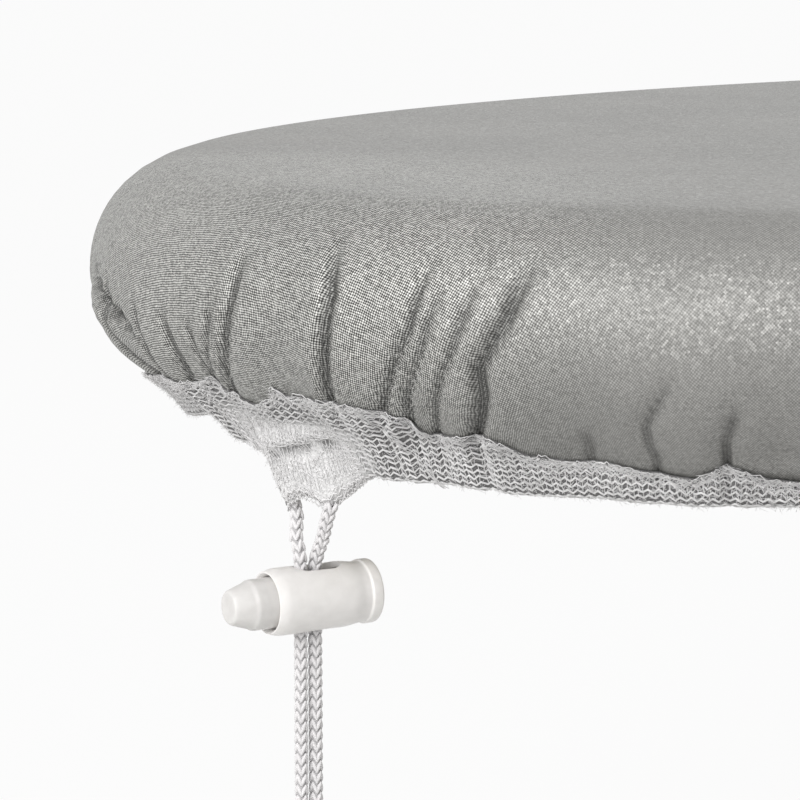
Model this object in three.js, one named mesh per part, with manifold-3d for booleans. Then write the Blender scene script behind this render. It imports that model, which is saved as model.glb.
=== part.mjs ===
// Ironing board cover: a metallised cotton skin over a foam pad, drawn in at the hem by a cord that
// runs in a folded knit tape and leaves it at the nose, where a sprung cord lock grips both tails.
// Millimetres, +Z up. The origin is on the pad's underside, at the middle of the cover's length and
// width, and +X runs from the nose to the tail.

import * as THREE from 'three';
import { mergeVertices } from 'three/addons/utils/BufferGeometryUtils.js';
import Module from 'manifold-3d';

// Outline of the cover, seen from above
const COVER_LENGTH = 1220;
const COVER_WIDTH = 400;
const NOSE_LENGTH = 350;
const TAIL_CORNER_RADIUS = 70;

// Layers, and the gap that keeps touching pieces apart
const PAD_THICKNESS = 6;
const FABRIC_THICKNESS = 0.6;
const TAPE_THICKNESS = 0.6;
const GAP = 0.3;

// Edge: a rounded shoulder, then a skirt that tucks in under the board's rim
const SHOULDER_RADIUS = 20;
const SKIRT_DROP = 17.8;
const SKIRT_TUCK = 10.5;
const SEAM_ALLOWANCE = 3;

// Gathers: folds crowd where the outline bends, and deepen from the shoulder to the hem
const FOLD_COUNT = 44;
const BEND_FOLD_SHARE = 0.55;
const FOLD_DEPTH = 3.2;
const FOLD_VARIATION = 0.3;
const FOLD_AT_WIDEST = 0.18;
const FOLD_AT_MID_SKIRT = 0.55;

// Folded tape that binds the hem and carries the cord
const TAPE_WIDTH = 12;
const CASING_PLAY = 0.55;
const HEM_TILT = THREE.MathUtils.degToRad(50);
const TAB_DROP = 8;
const TAB_ROUNDING = 1.4;
const TAB_GAP_TOP = 1.6;
const TAB_GAP_TIP = 6.6;

// Cord. Its tails leave the casing, close up over the lock by the heights and sideways steps given here,
// and hang straight to a knot
const CORD_DIAMETER = 2.5;
const CORD_SIDES = 8;
const TAIL_LENGTH = 140;
const TAIL_LEAD_OUT = 2;
const TAIL_ROUTE_ABOVE_LOCK = [[4.6, 1.1], [2.2, 0.15]];
const TAIL_SHARES_BELOW = [0, 0.05, 0.25, 0.5, 0.75, 1];
const KNOT_DIAMETER = 9;
const KNOT_LENGTH = 11;
const KNOT_END_LENGTH = 14;
const KNOT_END_SPLAY = 2;

// Cord lock: a barrel with a cross slot, and a plunger that a spring pushes out
const LOCK_DROP = 10;
const LOCK_TURN = THREE.MathUtils.degToRad(-10);
const BARREL_DIAMETER = 11.6;
const BARREL_LENGTH = 20;
const BARREL_REAR_WALL = 1.6;
const BARREL_NECK_DIAMETER = 10.6;
const BARREL_LIP_DIAMETER = 11.2;
const BARREL_LIP_WIDTH = 2;
const BARREL_EDGE = 0.6;
const SLOT_LENGTH = 9;
const SLOT_WIDTH = 4.6;
const SLOT_FROM_FRONT = 5;
const PLUNGER_DIAMETER = 8.7;
const PLUNGER_FACE_DIAMETER = 5.8;
const PLUNGER_REACH = 7.2;
const PLUNGER_TAPER = 3.4;
const PLUNGER_WEB = 1.5;
const SPRING_DIAMETER = 5.6;
const SPRING_WIRE = 0.5;
const SPRING_TURNS = 3.5;

// Facets
const ROUND_SEGMENTS = 32;
const SPRING_STEPS_PER_TURN = 12;
const SPRING_SIDES = 6;
const OUTLINE_SAMPLES = 3000;
const MERGE_DISTANCE = 1e-4;
const TAB_STEPS = 4;
const TAIL_STEPS = 30;
const KNOT_END_STEPS = 4;

const wasm = await Module();
wasm.setup();

const topZ = PAD_THICKNESS + GAP + FABRIC_THICKNESS;
const noseX = -COVER_LENGTH / 2;
const tailX = COVER_LENGTH / 2;
const cordRadius = CORD_DIAMETER / 2;

const materials = {
  fabric: new THREE.MeshStandardMaterial({ color: 0xaaa7a4, roughness: 0.5, metalness: 0.4 }),
  foam: new THREE.MeshStandardMaterial({ color: 0xe8e4da, roughness: 0.95, metalness: 0 }),
  tape: new THREE.MeshStandardMaterial({ color: 0xd6d4d2, roughness: 0.9, metalness: 0 }),
  cord: new THREE.MeshStandardMaterial({ color: 0xe6e4e2, roughness: 0.85, metalness: 0 }),
  plastic: new THREE.MeshStandardMaterial({ color: 0xebe7e4, roughness: 0.4, metalness: 0 }),
  steel: new THREE.MeshStandardMaterial({ color: 0xb8babd, roughness: 0.3, metalness: 1 }),
};

// A closed geometry from points and triangles, turned so that its faces point out
function closedGeometry(points, triangles) {
  let volume = 0;
  for (const [a, b, c] of triangles) {
    volume += points[a].dot(points[b].clone().cross(points[c]));
  }
  const index = triangles.flatMap(([a, b, c]) => (volume > 0 ? [a, b, c] : [a, c, b]));
  const coordinates = points.flatMap((p) => p.toArray());
  const geometry = new THREE.BufferGeometry();
  geometry.setAttribute('position', new THREE.Float32BufferAttribute(coordinates, 3));
  geometry.setIndex(index);
  geometry.computeVertexNormals();
  return geometry;
}

// A solid through a row of closed loops of equal count, with a cap on the first and the last loop
function loft(loops, capTriangles) {
  const count = loops[0].length;
  const triangles = [];
  for (let row = 0; row + 1 < loops.length; row += 1) {
    for (let k = 0; k < count; k += 1) {
      const next = (k + 1) % count;
      const [a, b] = [row * count + k, row * count + next];
      triangles.push([a, b, b + count], [a, b + count, a + count]);
    }
  }
  const last = (loops.length - 1) * count;
  for (const [a, b, c] of capTriangles(loops[0])) {
    triangles.push([a, c, b]);
  }
  for (const [a, b, c] of capTriangles(loops[loops.length - 1])) {
    triangles.push([last + a, last + b, last + c]);
  }
  return closedGeometry(loops.flat(), triangles);
}

// Caps for a loop, whose triangles run the way the loop does: a flat outline seen from above, a convex
// loop, and the two wings of a folded tape
const outlineCap = (loop) => {
  const contour = loop.map((p) => new THREE.Vector2(p.x, p.y));
  return THREE.ShapeUtils.triangulateShape(contour, []).map((triangle) => triangle.sort((a, b) => a - b));
};
const fanCap = (loop) => loop.slice(2).map((_, k) => [0, k + 1, k + 2]);
const foldCap = (loop) => {
  const half = loop.length / 2;
  const triangles = [];
  for (let k = 0; k + 1 < half; k += 1) {
    const inner = loop.length - 1 - k;
    triangles.push([k, k + 1, inner - 1], [k, inner - 1, inner]);
  }
  return triangles;
};

// Solids of the boolean library, to and from geometries
function toSolid(geometry) {
  const bare = geometry.clone();
  bare.deleteAttribute('normal');
  bare.deleteAttribute('uv');
  const merged = mergeVertices(bare, MERGE_DISTANCE);
  const position = merged.getAttribute('position');
  const corner = (k) => new THREE.Vector3().fromBufferAttribute(position, k);
  const corners = Array.from({ length: position.count }, (_, k) => corner(k));
  const index = Array.from(merged.getIndex().array);
  const triangles = [];
  for (let k = 0; k < index.length; k += 3) {
    const [a, b, c] = index.slice(k, k + 3);
    if (a !== b && b !== c && a !== c) {
      triangles.push([a, b, c]);
    }
  }
  const closed = closedGeometry(corners, triangles);
  return new wasm.Manifold(new wasm.Mesh({
    numProp: 3,
    vertProperties: new Float32Array(closed.getAttribute('position').array),
    triVerts: new Uint32Array(closed.getIndex().array),
  }));
}

function fromSolid(solid) {
  const mesh = solid.getMesh();
  const geometry = new THREE.BufferGeometry();
  geometry.setAttribute('position', new THREE.BufferAttribute(new Float32Array(mesh.vertProperties), 3));
  geometry.setIndex(new THREE.BufferAttribute(new Uint32Array(mesh.triVerts), 1));
  geometry.computeVertexNormals();
  return geometry;
}

// Outline of the cover, clockwise from the nose tip
function coverOutline() {
  const halfWidth = COVER_WIDTH / 2;
  const noseEnd = noseX + NOSE_LENGTH;
  const cornerX = tailX - TAIL_CORNER_RADIUS;
  const cornerY = halfWidth - TAIL_CORNER_RADIUS;
  const quarter = Math.PI / 2;
  const path = new THREE.Path();
  path.absellipse(noseEnd, 0, NOSE_LENGTH, halfWidth, Math.PI, quarter, true);
  path.lineTo(cornerX, halfWidth);
  path.absarc(cornerX, cornerY, TAIL_CORNER_RADIUS, quarter, 0, true);
  path.lineTo(tailX, -cornerY);
  path.absarc(cornerX, -cornerY, TAIL_CORNER_RADIUS, 0, -quarter, true);
  path.lineTo(noseEnd, -halfWidth);
  path.absellipse(noseEnd, 0, NOSE_LENGTH, halfWidth, -quarter, -Math.PI, true);
  return path;
}

// Stations along the outline, two to a fold, closer together where the outline bends.
// Each holds its point, its inward normal and how far its fold is pulled in at the hem.
function gatherStations() {
  const path = coverOutline();
  const points = path.getSpacedPoints(OUTLINE_SAMPLES).slice(0, OUTLINE_SAMPLES);
  const at = (k) => points[(k + OUTLINE_SAMPLES) % OUTLINE_SAMPLES];
  const chord = (from, to) => at(to).clone().sub(at(from));
  const turning = (k) => Math.abs(chord(k - 1, k).angleTo(chord(k, k + 1)));
  const crowd = [0];
  for (let k = 0; k < OUTLINE_SAMPLES; k += 1) {
    const bend = (turning(k) + turning(k + 1)) / 2 / (2 * Math.PI);
    crowd.push(crowd[k] + BEND_FOLD_SHARE * bend + (1 - BEND_FOLD_SHARE) / OUTLINE_SAMPLES);
  }
  const total = crowd[OUTLINE_SAMPLES];
  const count = 2 * FOLD_COUNT;
  let sample = 0;
  return Array.from({ length: count }, (_, station) => {
    const goal = (station / count) * total;
    while (crowd[sample + 1] <= goal) {
      sample += 1;
    }
    const share = (goal - crowd[sample]) / (crowd[sample + 1] - crowd[sample]);
    const point = at(sample).clone().lerp(at(sample + 1), share);
    const along = chord(sample - 1, sample + 2).normalize();
    const mirrored = Math.min(station, count - station);
    const depth = FOLD_DEPTH * (1 - FOLD_VARIATION * Math.sin(mirrored) ** 2);
    return { point, inward: new THREE.Vector2(along.y, -along.x), fold: station % 2 ? depth : 0 };
  });
}

const stations = gatherStations();

// A point of a station, by its distance in from the outline and its height
function stationPoint(station, inset, z) {
  return new THREE.Vector3(
    station.point.x + station.inward.x * inset,
    station.point.y + station.inward.y * inset,
    z,
  );
}

// Shoulder of a layer that lies so deep below the cover's outer face, by angle from the top
function shoulderPoint(station, angle, depth, extraInset = 0) {
  const radius = SHOULDER_RADIUS - depth;
  const inset = SHOULDER_RADIUS - radius * Math.sin(angle) + extraInset;
  return stationPoint(station, inset, topZ - SHOULDER_RADIUS + radius * Math.cos(angle));
}

// Hem frame: along runs down the turned-in hem from the tape's upper edge, out is its outer side
function hemPoint(station, along, out) {
  const inset = SKIRT_TUCK + station.fold + along * Math.sin(HEM_TILT) - out * Math.cos(HEM_TILT);
  const z = topZ - SHOULDER_RADIUS - SKIRT_DROP - along * Math.cos(HEM_TILT) - out * Math.sin(HEM_TILT);
  return stationPoint(station, inset, z);
}

const shoulderAngles = [0, 30, 60, 90].map(THREE.MathUtils.degToRad);

// One face of the skin as loops from the crown to the cut edge, so deep below the outer face
function fabricFace(depth) {
  const middle = 0.5;
  const hemOut = FABRIC_THICKNESS / 2 - depth;
  const loops = shoulderAngles.map((angle, row) => stations.map((station) => {
    const pull = row === shoulderAngles.length - 1 ? station.fold * FOLD_AT_WIDEST : 0;
    return shoulderPoint(station, angle, depth, pull);
  }));
  loops.push(stations.map((station) => stationPoint(
    station,
    SKIRT_TUCK * middle ** 2 + depth + station.fold * FOLD_AT_MID_SKIRT,
    topZ - SHOULDER_RADIUS - SKIRT_DROP * middle,
  )));
  loops.push(stations.map((station) => hemPoint(station, 0, hemOut)));
  loops.push(stations.map((station) => hemPoint(station, SEAM_ALLOWANCE, hemOut)));
  return loops;
}

function coverFabric() {
  return loft([...fabricFace(0), ...fabricFace(FABRIC_THICKNESS).reverse()], outlineCap);
}

// Foam pad: flat on the board, with its upper edge rounded to lie inside the shoulder of the skin
function foamPad() {
  const padStations = stations.filter((_, index) => index % 2 === 0);
  const depth = FABRIC_THICKNESS + GAP;
  const loopAt = (angle) => padStations.map((station) => shoulderPoint(station, angle, depth));
  const [crown, bend, belowPad] = shoulderAngles.map(loopAt);
  const underside = bend.map((p, k) => p.clone().lerp(belowPad[k], p.z / (p.z - belowPad[k].z)));
  return loft([crown, bend, underside], outlineCap);
}

// Places down the hem: where the wings of the tape leave the cut edge, the cord's centre, and the corner
// where the casing turns under
const bendAlong = SEAM_ALLOWANCE + 2 * GAP;
const cordAlong = TAPE_WIDTH - 1.5 * TAPE_THICKNESS - GAP - cordRadius;
const cornerAlong = cordAlong + cordRadius;

// Section of the folded tape, as [along, out, share of the tab's drop]: two wings hold the cut edge of
// the skin, and below it they open into the casing of the cord
function tapeSection() {
  const wing = FABRIC_THICKNESS / 2 + GAP;
  const spread = (along) => wing + (cordRadius + CASING_PLAY - wing) * (along / cordAlong);
  const outer = [
    [0, wing + TAPE_THICKNESS, 0],
    [bendAlong, spread(bendAlong) + TAPE_THICKNESS, 0],
    [cornerAlong + TAPE_THICKNESS / 2, spread(cornerAlong) + TAPE_THICKNESS, 1],
    [TAPE_WIDTH, 0, 1],
  ];
  const inner = [
    [0, wing, 0],
    [bendAlong, spread(bendAlong), 0],
    [cornerAlong, spread(cornerAlong), 1],
    [TAPE_WIDTH - TAPE_THICKNESS, 0, 1],
  ];
  const mirror = ([along, out, share]) => [along, -out, share];
  const across = (half) => [...half, ...half.slice(0, -1).reverse().map(mirror)];
  return [...across(outer), ...across(inner).reverse()];
}

// Loops of a section along the hem, open at the nose, where both ends slant apart and hang down as tabs.
// A piece may stand so far proud of the tape's ends.
function hemLoops(section, proud = 0) {
  const loopAt = (station) => section.map(([along, out]) => hemPoint(station, along, out));
  const tip = loopAt(stations[0]);
  const tab = (neighbour) => {
    const next = loopAt(neighbour);
    const spacing = stations[0].point.distanceTo(neighbour.point);
    const dropAt = (place) => TAB_DROP * ((1 - place) / (1 - TAB_GAP_TIP / spacing)) ** TAB_ROUNDING;
    return Array.from({ length: TAB_STEPS }, (_, step) => section.map(([along, , share], k) => {
      const gap = TAB_GAP_TOP + ((TAB_GAP_TIP - TAB_GAP_TOP) * along) / TAPE_WIDTH - proud;
      const place = THREE.MathUtils.lerp(gap / spacing, 1, step / TAB_STEPS);
      const point = tip[k].clone().lerp(next[k], place);
      point.z -= share * dropAt(place);
      return point;
    }));
  };
  const last = stations.length - 1;
  return [...tab(stations[1]), ...stations.slice(1).map(loopAt), ...tab(stations[last]).reverse()];
}

const bindingTape = () => loft(hemLoops(tapeSection()), foldCap);

const cordDropShare = (cordAlong - bendAlong) / (cornerAlong - bendAlong);
const cordSection = Array.from({ length: CORD_SIDES }, (_, k) => {
  const angle = (2 * Math.PI * (k + 0.5)) / CORD_SIDES;
  return [cordAlong + cordRadius * Math.cos(angle), cordRadius * Math.sin(angle), cordDropShare];
});
const drawstringLoops = hemLoops(cordSection, cordRadius);

// Where the cord leaves the casing on each side of the nose, and which way it points there
const centre = (loop) => loop.reduce((sum, p) => sum.add(p), new THREE.Vector3()).divideScalar(loop.length);
function casingMouth(side) {
  const [end, before] = side > 0 ? [0, 1] : [drawstringLoops.length - 1, drawstringLoops.length - 2];
  const point = centre(drawstringLoops[end]);
  return { end, point, heading: point.clone().sub(centre(drawstringLoops[before])).normalize() };
}

// Cord in the casing, with both ends cut square to the way they point
function drawstring() {
  const loops = [...drawstringLoops];
  for (const { end, point, heading } of [casingMouth(1), casingMouth(-1)]) {
    loops[end] = loops[end].map((p) => p.clone().addScaledVector(heading, heading.dot(point.clone().sub(p))));
  }
  return loft(loops, fanCap);
}

// Places of the lock: its axis runs from the plunger to the rear, and the cords hang side by side on it
const mouth = casingMouth(1).point;
const lockAxis = new THREE.Vector3(Math.cos(LOCK_TURN), Math.sin(LOCK_TURN), 0);
const barrelTopZ = mouth.z - LOCK_DROP;
const lockZ = barrelTopZ - BARREL_DIAMETER / 2;
const cordPairLength = 2 * CORD_DIAMETER + 3 * GAP;
const clampFromFront = SLOT_FROM_FRONT + cordPairLength / 2;
const pressTravel = SLOT_LENGTH - cordPairLength;
const lockFront = new THREE.Vector3(mouth.x, 0, lockZ).addScaledVector(lockAxis, -clampFromFront);
const knotTopZ = lockZ - TAIL_LENGTH;

// Route of a tail: out of the casing, round into the lock and straight down to the knot
function tailPoints(side) {
  const { point, heading } = casingMouth(side);
  const hang = new THREE.Vector3(mouth.x, 0, barrelTopZ);
  hang.addScaledVector(lockAxis, (-side * (CORD_DIAMETER + GAP)) / 2);
  const start = point.clone().addScaledVector(heading, GAP);
  const bend = start.clone().addScaledVector(heading, TAIL_LEAD_OUT);
  const above = ([height, sideways]) => hang.clone().add(new THREE.Vector3(0, side * sideways, height));
  const end = hang.clone().setZ(knotTopZ + GAP);
  const below = (share) => hang.clone().lerp(end, share);
  return [start, bend, ...TAIL_ROUTE_ABOVE_LOCK.map(above), ...TAIL_SHARES_BELOW.map(below)];
}

function roundSection(radius, sides) {
  return new THREE.Shape(Array.from({ length: sides }, (_, k) => {
    const angle = (2 * Math.PI * k) / sides;
    return new THREE.Vector2(radius * Math.cos(angle), radius * Math.sin(angle));
  }));
}

function cordAlongPath(points, steps) {
  const path = new THREE.CatmullRomCurve3(points, false, 'centripetal');
  return new THREE.ExtrudeGeometry(roundSection(cordRadius, CORD_SIDES), { steps, extrudePath: path });
}

const cordTail = (side) => cordAlongPath(tailPoints(side), TAIL_STEPS);

// Revolves a profile of [radius, place along the lock's axis]
function revolve(profile) {
  const geometry = new THREE.LatheGeometry(profile.map(([r, x]) => new THREE.Vector2(r, x)), ROUND_SEGMENTS);
  return geometry.rotateZ(-Math.PI / 2);
}

// Knot that ties both tails together, with their two short ends below it
function endKnot() {
  const middle = new THREE.Vector3(mouth.x, 0, knotTopZ - KNOT_LENGTH / 2);
  const body = new THREE.SphereGeometry(0.5, ROUND_SEGMENTS / 2, ROUND_SEGMENTS / 4).rotateX(Math.PI / 2);
  body.scale(KNOT_DIAMETER, KNOT_DIAMETER, KNOT_LENGTH).translate(...middle);
  let knot = toSolid(body);
  for (const side of [1, -1]) {
    const from = middle.clone().addScaledVector(lockAxis, (-side * (CORD_DIAMETER + GAP)) / 2);
    const to = from.clone().addScaledVector(lockAxis, -side * KNOT_END_SPLAY);
    to.z -= KNOT_LENGTH / 2 + KNOT_END_LENGTH;
    knot = knot.add(toSolid(cordAlongPath([from, from.clone().lerp(to, 0.5), to], KNOT_END_STEPS)));
  }
  return fromSolid(knot);
}

// Slot across a lock piece, with round ends, from so far behind the barrel's front
function crossSlot(from) {
  const end = SLOT_WIDTH / 2;
  const shape = new THREE.Shape();
  shape.absarc(from + end, 0, end, Math.PI / 2, (3 * Math.PI) / 2);
  shape.absarc(from + SLOT_LENGTH - end, 0, end, -Math.PI / 2, Math.PI / 2);
  const depth = 2 * BARREL_DIAMETER;
  return new THREE.ExtrudeGeometry(shape, { depth, bevelEnabled: false }).translate(0, 0, -depth / 2);
}

const boreRadius = PLUNGER_DIAMETER / 2 + GAP;
const boreEnd = BARREL_LENGTH - BARREL_REAR_WALL;

// Barrel: open at the front, closed at the rear, with a neck before the rear lip
function lockBarrel() {
  const radius = BARREL_DIAMETER / 2;
  const lipStart = BARREL_LENGTH - BARREL_LIP_WIDTH;
  const profile = [
    [0, BARREL_LENGTH],
    [BARREL_LIP_DIAMETER / 2 - BARREL_EDGE, BARREL_LENGTH],
    [BARREL_LIP_DIAMETER / 2, BARREL_LENGTH - BARREL_EDGE],
    [BARREL_LIP_DIAMETER / 2, lipStart],
    [BARREL_NECK_DIAMETER / 2, lipStart - BARREL_EDGE / 2],
    [radius, SLOT_FROM_FRONT + SLOT_LENGTH],
    [radius, BARREL_EDGE],
    [radius - BARREL_EDGE / 2, BARREL_EDGE / 6],
    [radius - BARREL_EDGE, 0],
    [boreRadius, 0],
    [boreRadius, boreEnd],
    [0, boreEnd],
  ];
  return fromSolid(toSolid(revolve(profile)).subtract(toSolid(crossSlot(SLOT_FROM_FRONT))));
}

const plungerSlotFrom = SLOT_FROM_FRONT - pressTravel;
const plungerEnd = plungerSlotFrom + SLOT_LENGTH + PLUNGER_WEB;

// Plunger: a round stem with a tapered nose, slotted across for the cords
function lockPlunger() {
  const radius = PLUNGER_DIAMETER / 2;
  const faceRadius = PLUNGER_FACE_DIAMETER / 2;
  const edge = BARREL_EDGE / 2;
  const profile = [
    [0, -PLUNGER_REACH],
    [faceRadius - edge, -PLUNGER_REACH],
    [faceRadius, edge - PLUNGER_REACH],
    [radius - edge, PLUNGER_TAPER - PLUNGER_REACH],
    [radius, PLUNGER_TAPER + 2 * edge - PLUNGER_REACH],
    [radius, plungerEnd],
    [0, plungerEnd],
  ];
  return fromSolid(toSolid(revolve(profile)).subtract(toSolid(crossSlot(plungerSlotFrom))));
}

// Spring between the plunger's end and the barrel's rear wall, one open coil of round wire
function lockSpring() {
  const wireRadius = SPRING_WIRE / 2;
  const coilRadius = SPRING_DIAMETER / 2 - wireRadius;
  const start = plungerEnd + GAP + wireRadius;
  const end = boreEnd - GAP - wireRadius;
  const steps = Math.round(SPRING_TURNS * SPRING_STEPS_PER_TURN);
  const angleAt = (k) => (2 * Math.PI * SPRING_TURNS * k) / steps;
  const at = (k) => new THREE.Vector3(
    THREE.MathUtils.lerp(start, end, k / steps),
    coilRadius * Math.cos(angleAt(k)),
    coilRadius * Math.sin(angleAt(k)),
  );
  const line = Array.from({ length: steps + 1 }, (_, k) => at(k));
  let leastGap = Infinity;
  for (let k = 0; k <= steps; k += 1) {
    for (let other = k + SPRING_STEPS_PER_TURN / 2; other <= steps; other += 1) {
      leastGap = Math.min(leastGap, line[k].distanceTo(line[other]) - SPRING_WIRE);
    }
  }
  console.log(`lock_spring: least gap between its turns ${leastGap.toFixed(2)} mm`);
  const axis = new THREE.Vector3(1, 0, 0);
  const loops = line.map((p, k) => Array.from({ length: SPRING_SIDES }, (_, side) => {
    const angle = (2 * Math.PI * side) / SPRING_SIDES;
    const outward = new THREE.Vector3(0, Math.cos(angleAt(k)), Math.sin(angleAt(k)));
    const aside = outward.multiplyScalar(Math.cos(angle)).addScaledVector(axis, Math.sin(angle));
    return p.clone().addScaledVector(aside, wireRadius);
  }));
  return loft(loops, fanCap);
}

function piece(name, geometry, material) {
  const mesh = new THREE.Mesh(geometry, material);
  mesh.name = name;
  return mesh;
}

const lock = new THREE.Group();
lock.position.copy(lockFront);
lock.rotation.z = LOCK_TURN;
lock.add(
  piece('lock_barrel', lockBarrel(), materials.plastic),
  piece('lock_plunger', lockPlunger(), materials.plastic),
  piece('lock_spring', lockSpring(), materials.steel),
);

const cover = new THREE.Group();
cover.add(
  piece('cover_fabric', coverFabric(), materials.fabric),
  piece('foam_pad', foamPad(), materials.foam),
  piece('binding_tape', bindingTape(), materials.tape),
  piece('drawstring', drawstring(), materials.cord),
  piece('cord_tail_left', cordTail(1), materials.cord),
  piece('cord_tail_right', cordTail(-1), materials.cord),
  piece('end_knot', endKnot(), materials.cord),
  lock,
);

export default cover;
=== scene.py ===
"""Looks of a fitted ironing board cover: gathered skin, knit hem tape, draw cord and sprung cord lock."""

import logging
import math
from dataclasses import dataclass, replace
from enum import Enum
from functools import cached_property

import bpy
import numpy as np
from bpy.types import ID, Material, Mesh, Node, NodeSocket, NodeTree, Object, bpy_prop_collection
from mathutils import Matrix, Vector


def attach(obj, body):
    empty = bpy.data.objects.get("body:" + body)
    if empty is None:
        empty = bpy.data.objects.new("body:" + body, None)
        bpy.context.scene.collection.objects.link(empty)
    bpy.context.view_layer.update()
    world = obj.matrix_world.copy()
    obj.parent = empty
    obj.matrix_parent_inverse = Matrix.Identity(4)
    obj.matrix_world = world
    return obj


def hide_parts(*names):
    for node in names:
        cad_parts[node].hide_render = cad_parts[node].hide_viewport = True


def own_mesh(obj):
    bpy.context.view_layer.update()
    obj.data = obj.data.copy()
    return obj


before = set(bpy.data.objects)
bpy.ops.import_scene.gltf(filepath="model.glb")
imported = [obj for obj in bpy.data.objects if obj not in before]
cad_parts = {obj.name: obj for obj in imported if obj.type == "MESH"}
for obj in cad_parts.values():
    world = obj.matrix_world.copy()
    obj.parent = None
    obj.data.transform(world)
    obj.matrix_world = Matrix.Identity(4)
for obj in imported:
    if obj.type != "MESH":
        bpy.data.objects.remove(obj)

Array = np.ndarray
LOG = logging.getLogger("ironing_board_cover")
MM = 0.001
TOP_Z = 6.9
SEED = 11
ODD_WAY = (0.31, 0.95, 0.05)  # along no tube, to start its first ring from
LEG_SHARE = 0.48  # most of a leg that a rounded corner may take up
CUT_REACH = 9.0  # past both sides of the lock
ANY_LIFT = -99.0  # below any place of the tape's upper edge
NEAR_START, NEAR_END = -112, 62  # stretch of the hem that the photo shows from close by
SQUARE = ((-1, -1), (1, -1), (1, 1), (-1, 1))
TAIL_LEVELS = (-64.809, -93.909, -130.284, -166.659, -203.034)


class Body(Enum):
    """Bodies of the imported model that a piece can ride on."""

    COVER = "cover"
    LOCK = "lock"
    PLUNGER = "plunger"


class Slot(Enum):
    """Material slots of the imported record."""

    SKIN = "metallised_cotton"
    FOAM = "foam"
    TAPE = "knit_tape"
    CORD = "braided_cord"
    PLASTIC = "lock_plastic"
    STEEL = "spring_steel"


class Stretch(Enum):
    """Stretches of the hem that a knit course runs on, by how far the tape droops there."""

    STRAIGHT = (-1.0, 1.4)
    HANGING = (1.4, 99.0)
    TABS = (1.0, 99.0)
    WHOLE = (-1.0, 99.0)


# ---------------------------------------------------------------- number helpers


def bell(distance: Array, width: float, power: int = 2) -> Array:
    """Bump of height 1 that falls off with distance, squarer with a higher power."""
    return np.exp(-((distance / width) ** power))


def unit(value: Array) -> Array:
    """Value held between 0 and 1."""
    return np.clip(value, 0.0, 1.0)


def tone(shade: float, *shares: float) -> tuple[float, ...]:
    """Colour with these shares of a shade."""
    return tuple(share * shade for share in shares)


def chain(count: int, step: int = 1) -> list[tuple[int, int]]:
    """Edges from point to point of a line, or of loose pairs with a step of 2."""
    return [(k, k + 1) for k in range(0, count - 1, step)]


def run_along(path: Array) -> Array:
    """Distance of each point from the first, along the path."""
    return np.concatenate([[0.0], np.cumsum(np.linalg.norm(np.diff(path, axis=0), axis=1))])


# ---------------------------------------------------------------- mesh helpers


def new_object(name: str, mesh: Mesh, material: Material | None = None) -> Object:
    """Link a new object with this mesh to the scene.

    Args:
        name: Name of the object.
        mesh: Mesh that the object shows.
        material: Finish of a mesh that has none yet.

    Returns:
        The object, at the origin.
    """
    if material is not None:
        mesh.materials.append(material)
    piece = bpy.data.objects.new(name, mesh)
    bpy.context.scene.collection.objects.link(piece)
    return piece


def new_mesh(name: str, points: Array, faces: list, edges: list | None = None) -> Mesh:
    """Make a mesh from points in millimetres.

    Args:
        name: Name of the mesh.
        points: Array of points, n by 3.
        faces: Lists of point numbers, outward by the right-hand rule.
        edges: Pairs of point numbers, for a mesh without faces.

    Returns:
        The mesh, in metres and smooth shaded.
    """
    mesh = bpy.data.meshes.new(name)
    mesh.from_pydata((np.asarray(points, float) * MM).tolist(), edges or [], faces)
    smooth_faces(mesh)
    mesh.update()
    return mesh


def smooth_faces(mesh: Mesh) -> None:
    """Shade all the faces of a mesh smooth."""
    mesh.polygons.foreach_set("use_smooth", np.ones(len(mesh.polygons), bool))


def mark(mesh: Mesh, name: str, values: Array) -> None:
    """Keep a number at each point of a mesh as an attribute."""
    mesh.attributes.new(name, "FLOAT", "POINT").data.foreach_set("value", values.astype(np.float32).ravel())


def loft_faces(rows: int, columns: int, flip: bool = False) -> list[tuple[int, ...]]:
    """Number the quads between rings of points.

    Args:
        rows: Number of rings.
        columns: Points round each ring.
        flip: True to turn the faces over.

    Returns:
        The quads.
    """
    row = np.arange(rows - 1)[:, None] * columns
    here = np.arange(columns)[None, :]
    there = (here + 1) % columns
    quads = np.stack([row + there, row + columns + there, row + columns + here, row + here], axis=-1).reshape(-1, 4)
    return [tuple(quad) for quad in (quads[:, ::-1] if flip else quads).tolist()]


def capped_faces(rows: int, columns: int) -> list[tuple[int, ...]]:
    """Number the quads between rings of points, then the face that closes each end."""
    ends = [tuple(range(columns - 1, -1, -1)), tuple(range((rows - 1) * columns, rows * columns))]
    return loft_faces(rows, columns) + ends


def smooth_path(points: Array, step: float) -> Array:
    """Centripetal spline through all the points.

    Args:
        points: Points of the route, n by 3.
        step: Distance between samples.

    Returns:
        Points along the spline, its ends included.
    """
    ends = np.vstack([2 * points[0] - points[1], points, 2 * points[-1] - points[-2]])
    samples = [points[:1]]
    for k in range(1, len(ends) - 2):
        four = ends[k - 1:k + 3]
        knots = np.concatenate([[0.0], np.cumsum(np.linalg.norm(np.diff(four, axis=0), axis=1) ** 0.5)])
        count = max(2, int(round(np.linalg.norm(four[2] - four[1]) / step)))
        at = np.linspace(knots[1], knots[2], count + 1)[1:, None]
        low = [four[j] + (four[j + 1] - four[j]) * (at - knots[j]) / (knots[j + 1] - knots[j]) for j in range(3)]
        mid = [low[j] + (low[j + 1] - low[j]) * (at - knots[j]) / (knots[j + 2] - knots[j]) for j in range(2)]
        samples.append(mid[0] + (mid[1] - mid[0]) * (at - knots[1]) / (knots[2] - knots[1]))
    return np.vstack(samples)


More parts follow.
